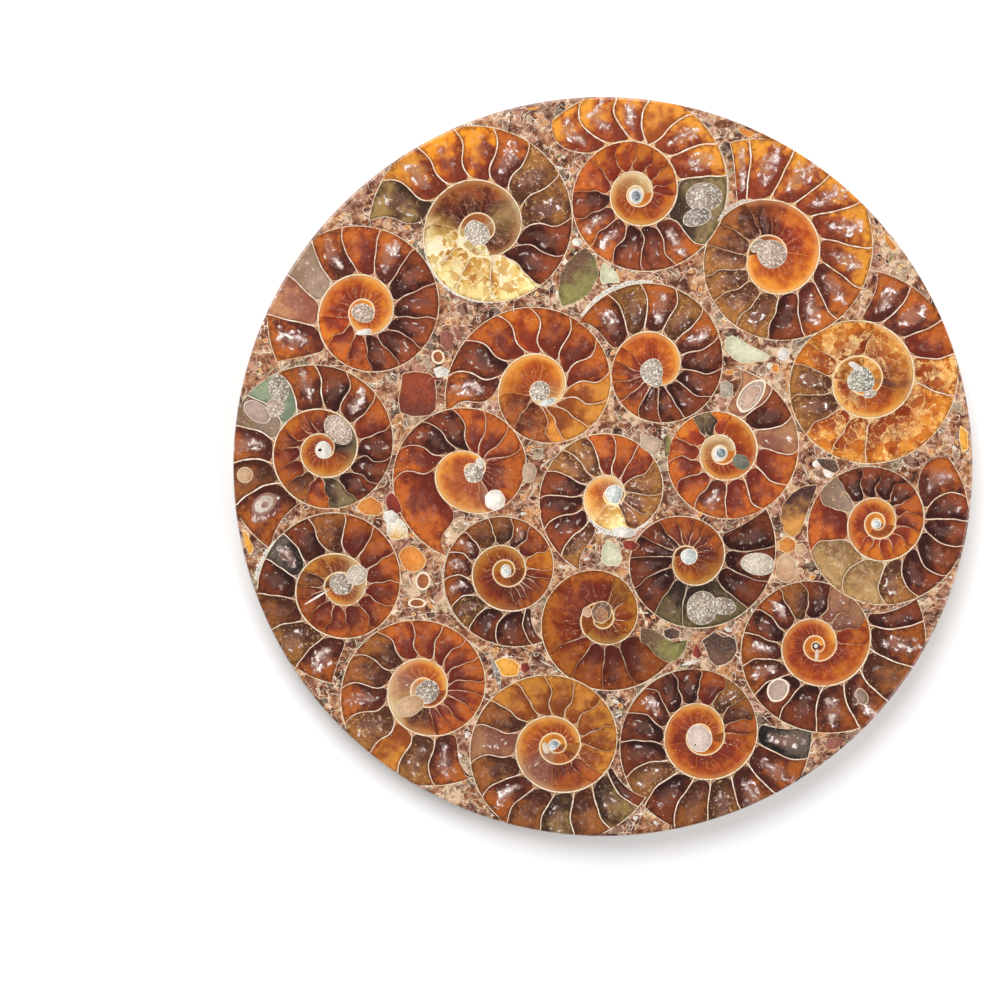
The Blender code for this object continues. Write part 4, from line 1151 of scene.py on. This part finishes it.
def carve(piece, cutters):
    # Takes the cutters out of a piece and keeps the result as its mesh.
    for cutter in cutters:
        cut = piece.modifiers.new(cutter.name, "BOOLEAN")
        cut.operation, cut.solver, cut.object = "DIFFERENCE", "EXACT", cutter
    bpy.context.view_layer.update()
    carved = bpy.data.meshes.new_from_object(piece.evaluated_get(bpy.context.evaluated_depsgraph_get()))
    piece.modifiers.clear()
    piece.data = carved
    for cutter in cutters:
        bpy.data.objects.remove(cutter)


fossil = fossilMaterial()
cement = cementMaterial()
inlaid = stoneMaterial()
print("materials ready")

seeds = np.random.default_rng(11)
pockets = [pocketFor(name, whorlOutline(shell, plate["seam"]), np.array(shell["centre"]), cement)
           for name, shell in ammonites.items()]
inlays = {name: rounded(cornersOf(corners))[::-1] for name, (_, _, corners) in fragments.items()}
for name, outline in inlays.items():
    middle = outline.mean(axis=0)
    pockets.append(pocketFor(name, middle + (outline - middle) * 1.003, middle, cement))

for name, shell in ammonites.items():
    settle(coilPiece(name, shell, fossil, seeds), name)
print("ammonites ready")

for name, outline in inlays.items():
    stone, turn, _ = fragments[name]
    spec = dict(outline=outline, stone=stone, turn=turn, high=plate["face"], low=plate["inlayFloor"],
                undercut=plate["undercut"])
    settle(stoneMesh(name + "_inlay", [spec], inlaid, seeds), name)
print("fragments ready")

for name, plugs in inclusions.items():
    specs = [
        dict(outline=pebble(x, y, long, wide, turn, seeds), stone=stone, turn=turn,
             high=plate["face"] + slab["plugLift"] + slab["plugStep"] * order,
             low=plate["thickness"] - slab["plugDepth"] + slab["plugFloorStep"] * order)
        for order, (x, y, long, wide, turn, stone) in enumerate(tableOf(plugs))
    ]
    settle(stoneMesh(name + "_plugs", specs, inlaid, seeds), None)
print("plugs ready")

# bits that are placed, but for those whose middle a shell covers, then crusts and loose bits
outlines = [whorlOutline(shell) for shell in ammonites.values()] + list(inlays.values())
shapes = [(rounded(cornersOf(corners), 1), stone, turn) for stone, turn, corners in chips]
shapes += [(pebble(x, y, long, wide, turn, seeds, 16), stone, turn)
           for x, y, long, wide, turn, stone in tableOf(pebbles)]
shapes += [(splinter(x, y, endX, endY, wide, seeds.normal(0, slab["placedBow"])), stone, 0)
           for x, y, endX, endY, wide, stone in tableOf(splinters)]
specs = [dict(outline=rounded(outline, 0), stone=stone, turn=turn) for outline, stone, turn in shapes
         if not any(within(outline.mean(axis=0)[None], other)[0] for other in outlines)]
for number, start, end, wide, stone in tableOf(crusts):
    specs += crust(ammonites["ammonite_%02d" % number], start, end, wide, stone, seeds)
names, strewn = loose["stones"], loose["chips"]
for x, y in freeSpots(strewn["count"], strewn["margin"], outlines, seeds):
    long, wide = seeds.uniform(*strewn["long"]), seeds.uniform(*strewn["wide"])
    outline = pebble(x, y, long, wide, seeds.uniform(0, 180), seeds, strewn["sides"], strewn["rough"])
    specs.append(dict(outline=outline, stone=names[seeds.integers(len(names))]))
strewn = loose["splinters"]
for x, y in freeSpots(strewn["count"], strewn["margin"], outlines, seeds):
    wayX, wayY = direction(seeds.uniform(0, 360)) * seeds.uniform(*strewn["long"])
    wide, bow = seeds.uniform(*strewn["wide"]), seeds.normal(0, strewn["bow"])
    outline = splinter(x - wayX, y - wayY, x + wayX, y + wayY, wide, bow)
    # one in four takes the second stone, and the rest the first
    specs.append(dict(outline=outline, stone=names[seeds.integers(2) * seeds.integers(2)]))
for order, spec in enumerate(specs[::-1]):
    spec["high"] = plate["thickness"] - slab["bitSunk"] + slab["bitSpread"] * order / len(specs)
    spec["low"] = plate["thickness"] - slab["bitDepth"]
half = (len(specs) + 1) // 2
for name, part in (("cement_bits_1", specs[:half]), ("cement_bits_2", specs[half:])):
    settle(stoneMesh(name, part, inlaid, seeds), None)
print("cement bits ready")

top, edge, bevel = plate["face"], plate["radius"], plate["bevel"]
inset = bevel * (1 - math.sqrt(0.5))
blank = revolve("matrix_cement", [
    (0, top), (edge - bevel, top), (edge - inset, top - inset), (edge, top - bevel),
    (edge, bevel), (edge - inset, inset), (edge - bevel, 0), (0, 0),
], plate["rimSides"], cement)
carve(blank, pockets)
settle(blank, "matrix")
print("cement ready")

studio = {
    "floor": (900.0, -0.02),    # half width and height in mm, a hair under the plate
    "width": 148.65,            # what the camera sees in mm, across the plate's face
    "distance": 450.0,
    "centre": (-15.31, -4.98),  # middle of the camera's view
    "sensor": 36.0,
    "lights": {"keyLight": ((-0.28, 0.52, 0.62), 0.85, 9.0),    # place and width in metres, power
               "fillLight": ((0.6, -0.2, 0.65), 0.8, 4.9)},
    "sky": 0.32,
}
scene = bpy.context.scene
reach, level = studio["floor"]
floorMaterial, floorShader, _ = newMaterial("paleFloor", 0.9)
floorShader.inputs["Base Color"].default_value = (0.94, 0.94, 0.94, 1)
corners = np.array([(x * reach, y * reach, level) for x, y in ((-1, -1), (1, -1), (1, 1), (-1, 1))])
finishMesh("floor", corners, [[0, 1, 2, 3]], floorMaterial)

camera = bpy.data.objects.new("camera", bpy.data.cameras.new("camera"))
camera.data.sensor_width = studio["sensor"]
camera.data.lens = studio["sensor"] * studio["distance"] / studio["width"]
x, y = studio["centre"]
camera.location = (x * mm, y * mm, (top + studio["distance"]) * mm)
scene.collection.objects.link(camera)
scene.camera = camera

for name, (place, size, power) in studio["lights"].items():
    data = bpy.data.lights.new(name, "AREA")
    data.shape, data.size, data.energy = "DISK", size, power
    light = bpy.data.objects.new(name, data)
    light.location = place
    x, y, z = place
    light.rotation_euler = (math.atan2(math.hypot(x, y), z), 0, math.atan2(-y, -x) - math.pi / 2)
    scene.collection.objects.link(light)

scene.view_settings.view_transform = "Standard"
world = bpy.data.worlds.new("studio")
world.use_nodes = True
sky = world.node_tree.nodes["Background"]
sky.inputs["Color"].default_value = (1, 1, 1, 1)
sky.inputs["Strength"].default_value = studio["sky"]
scene.world = world
print("studio ready")
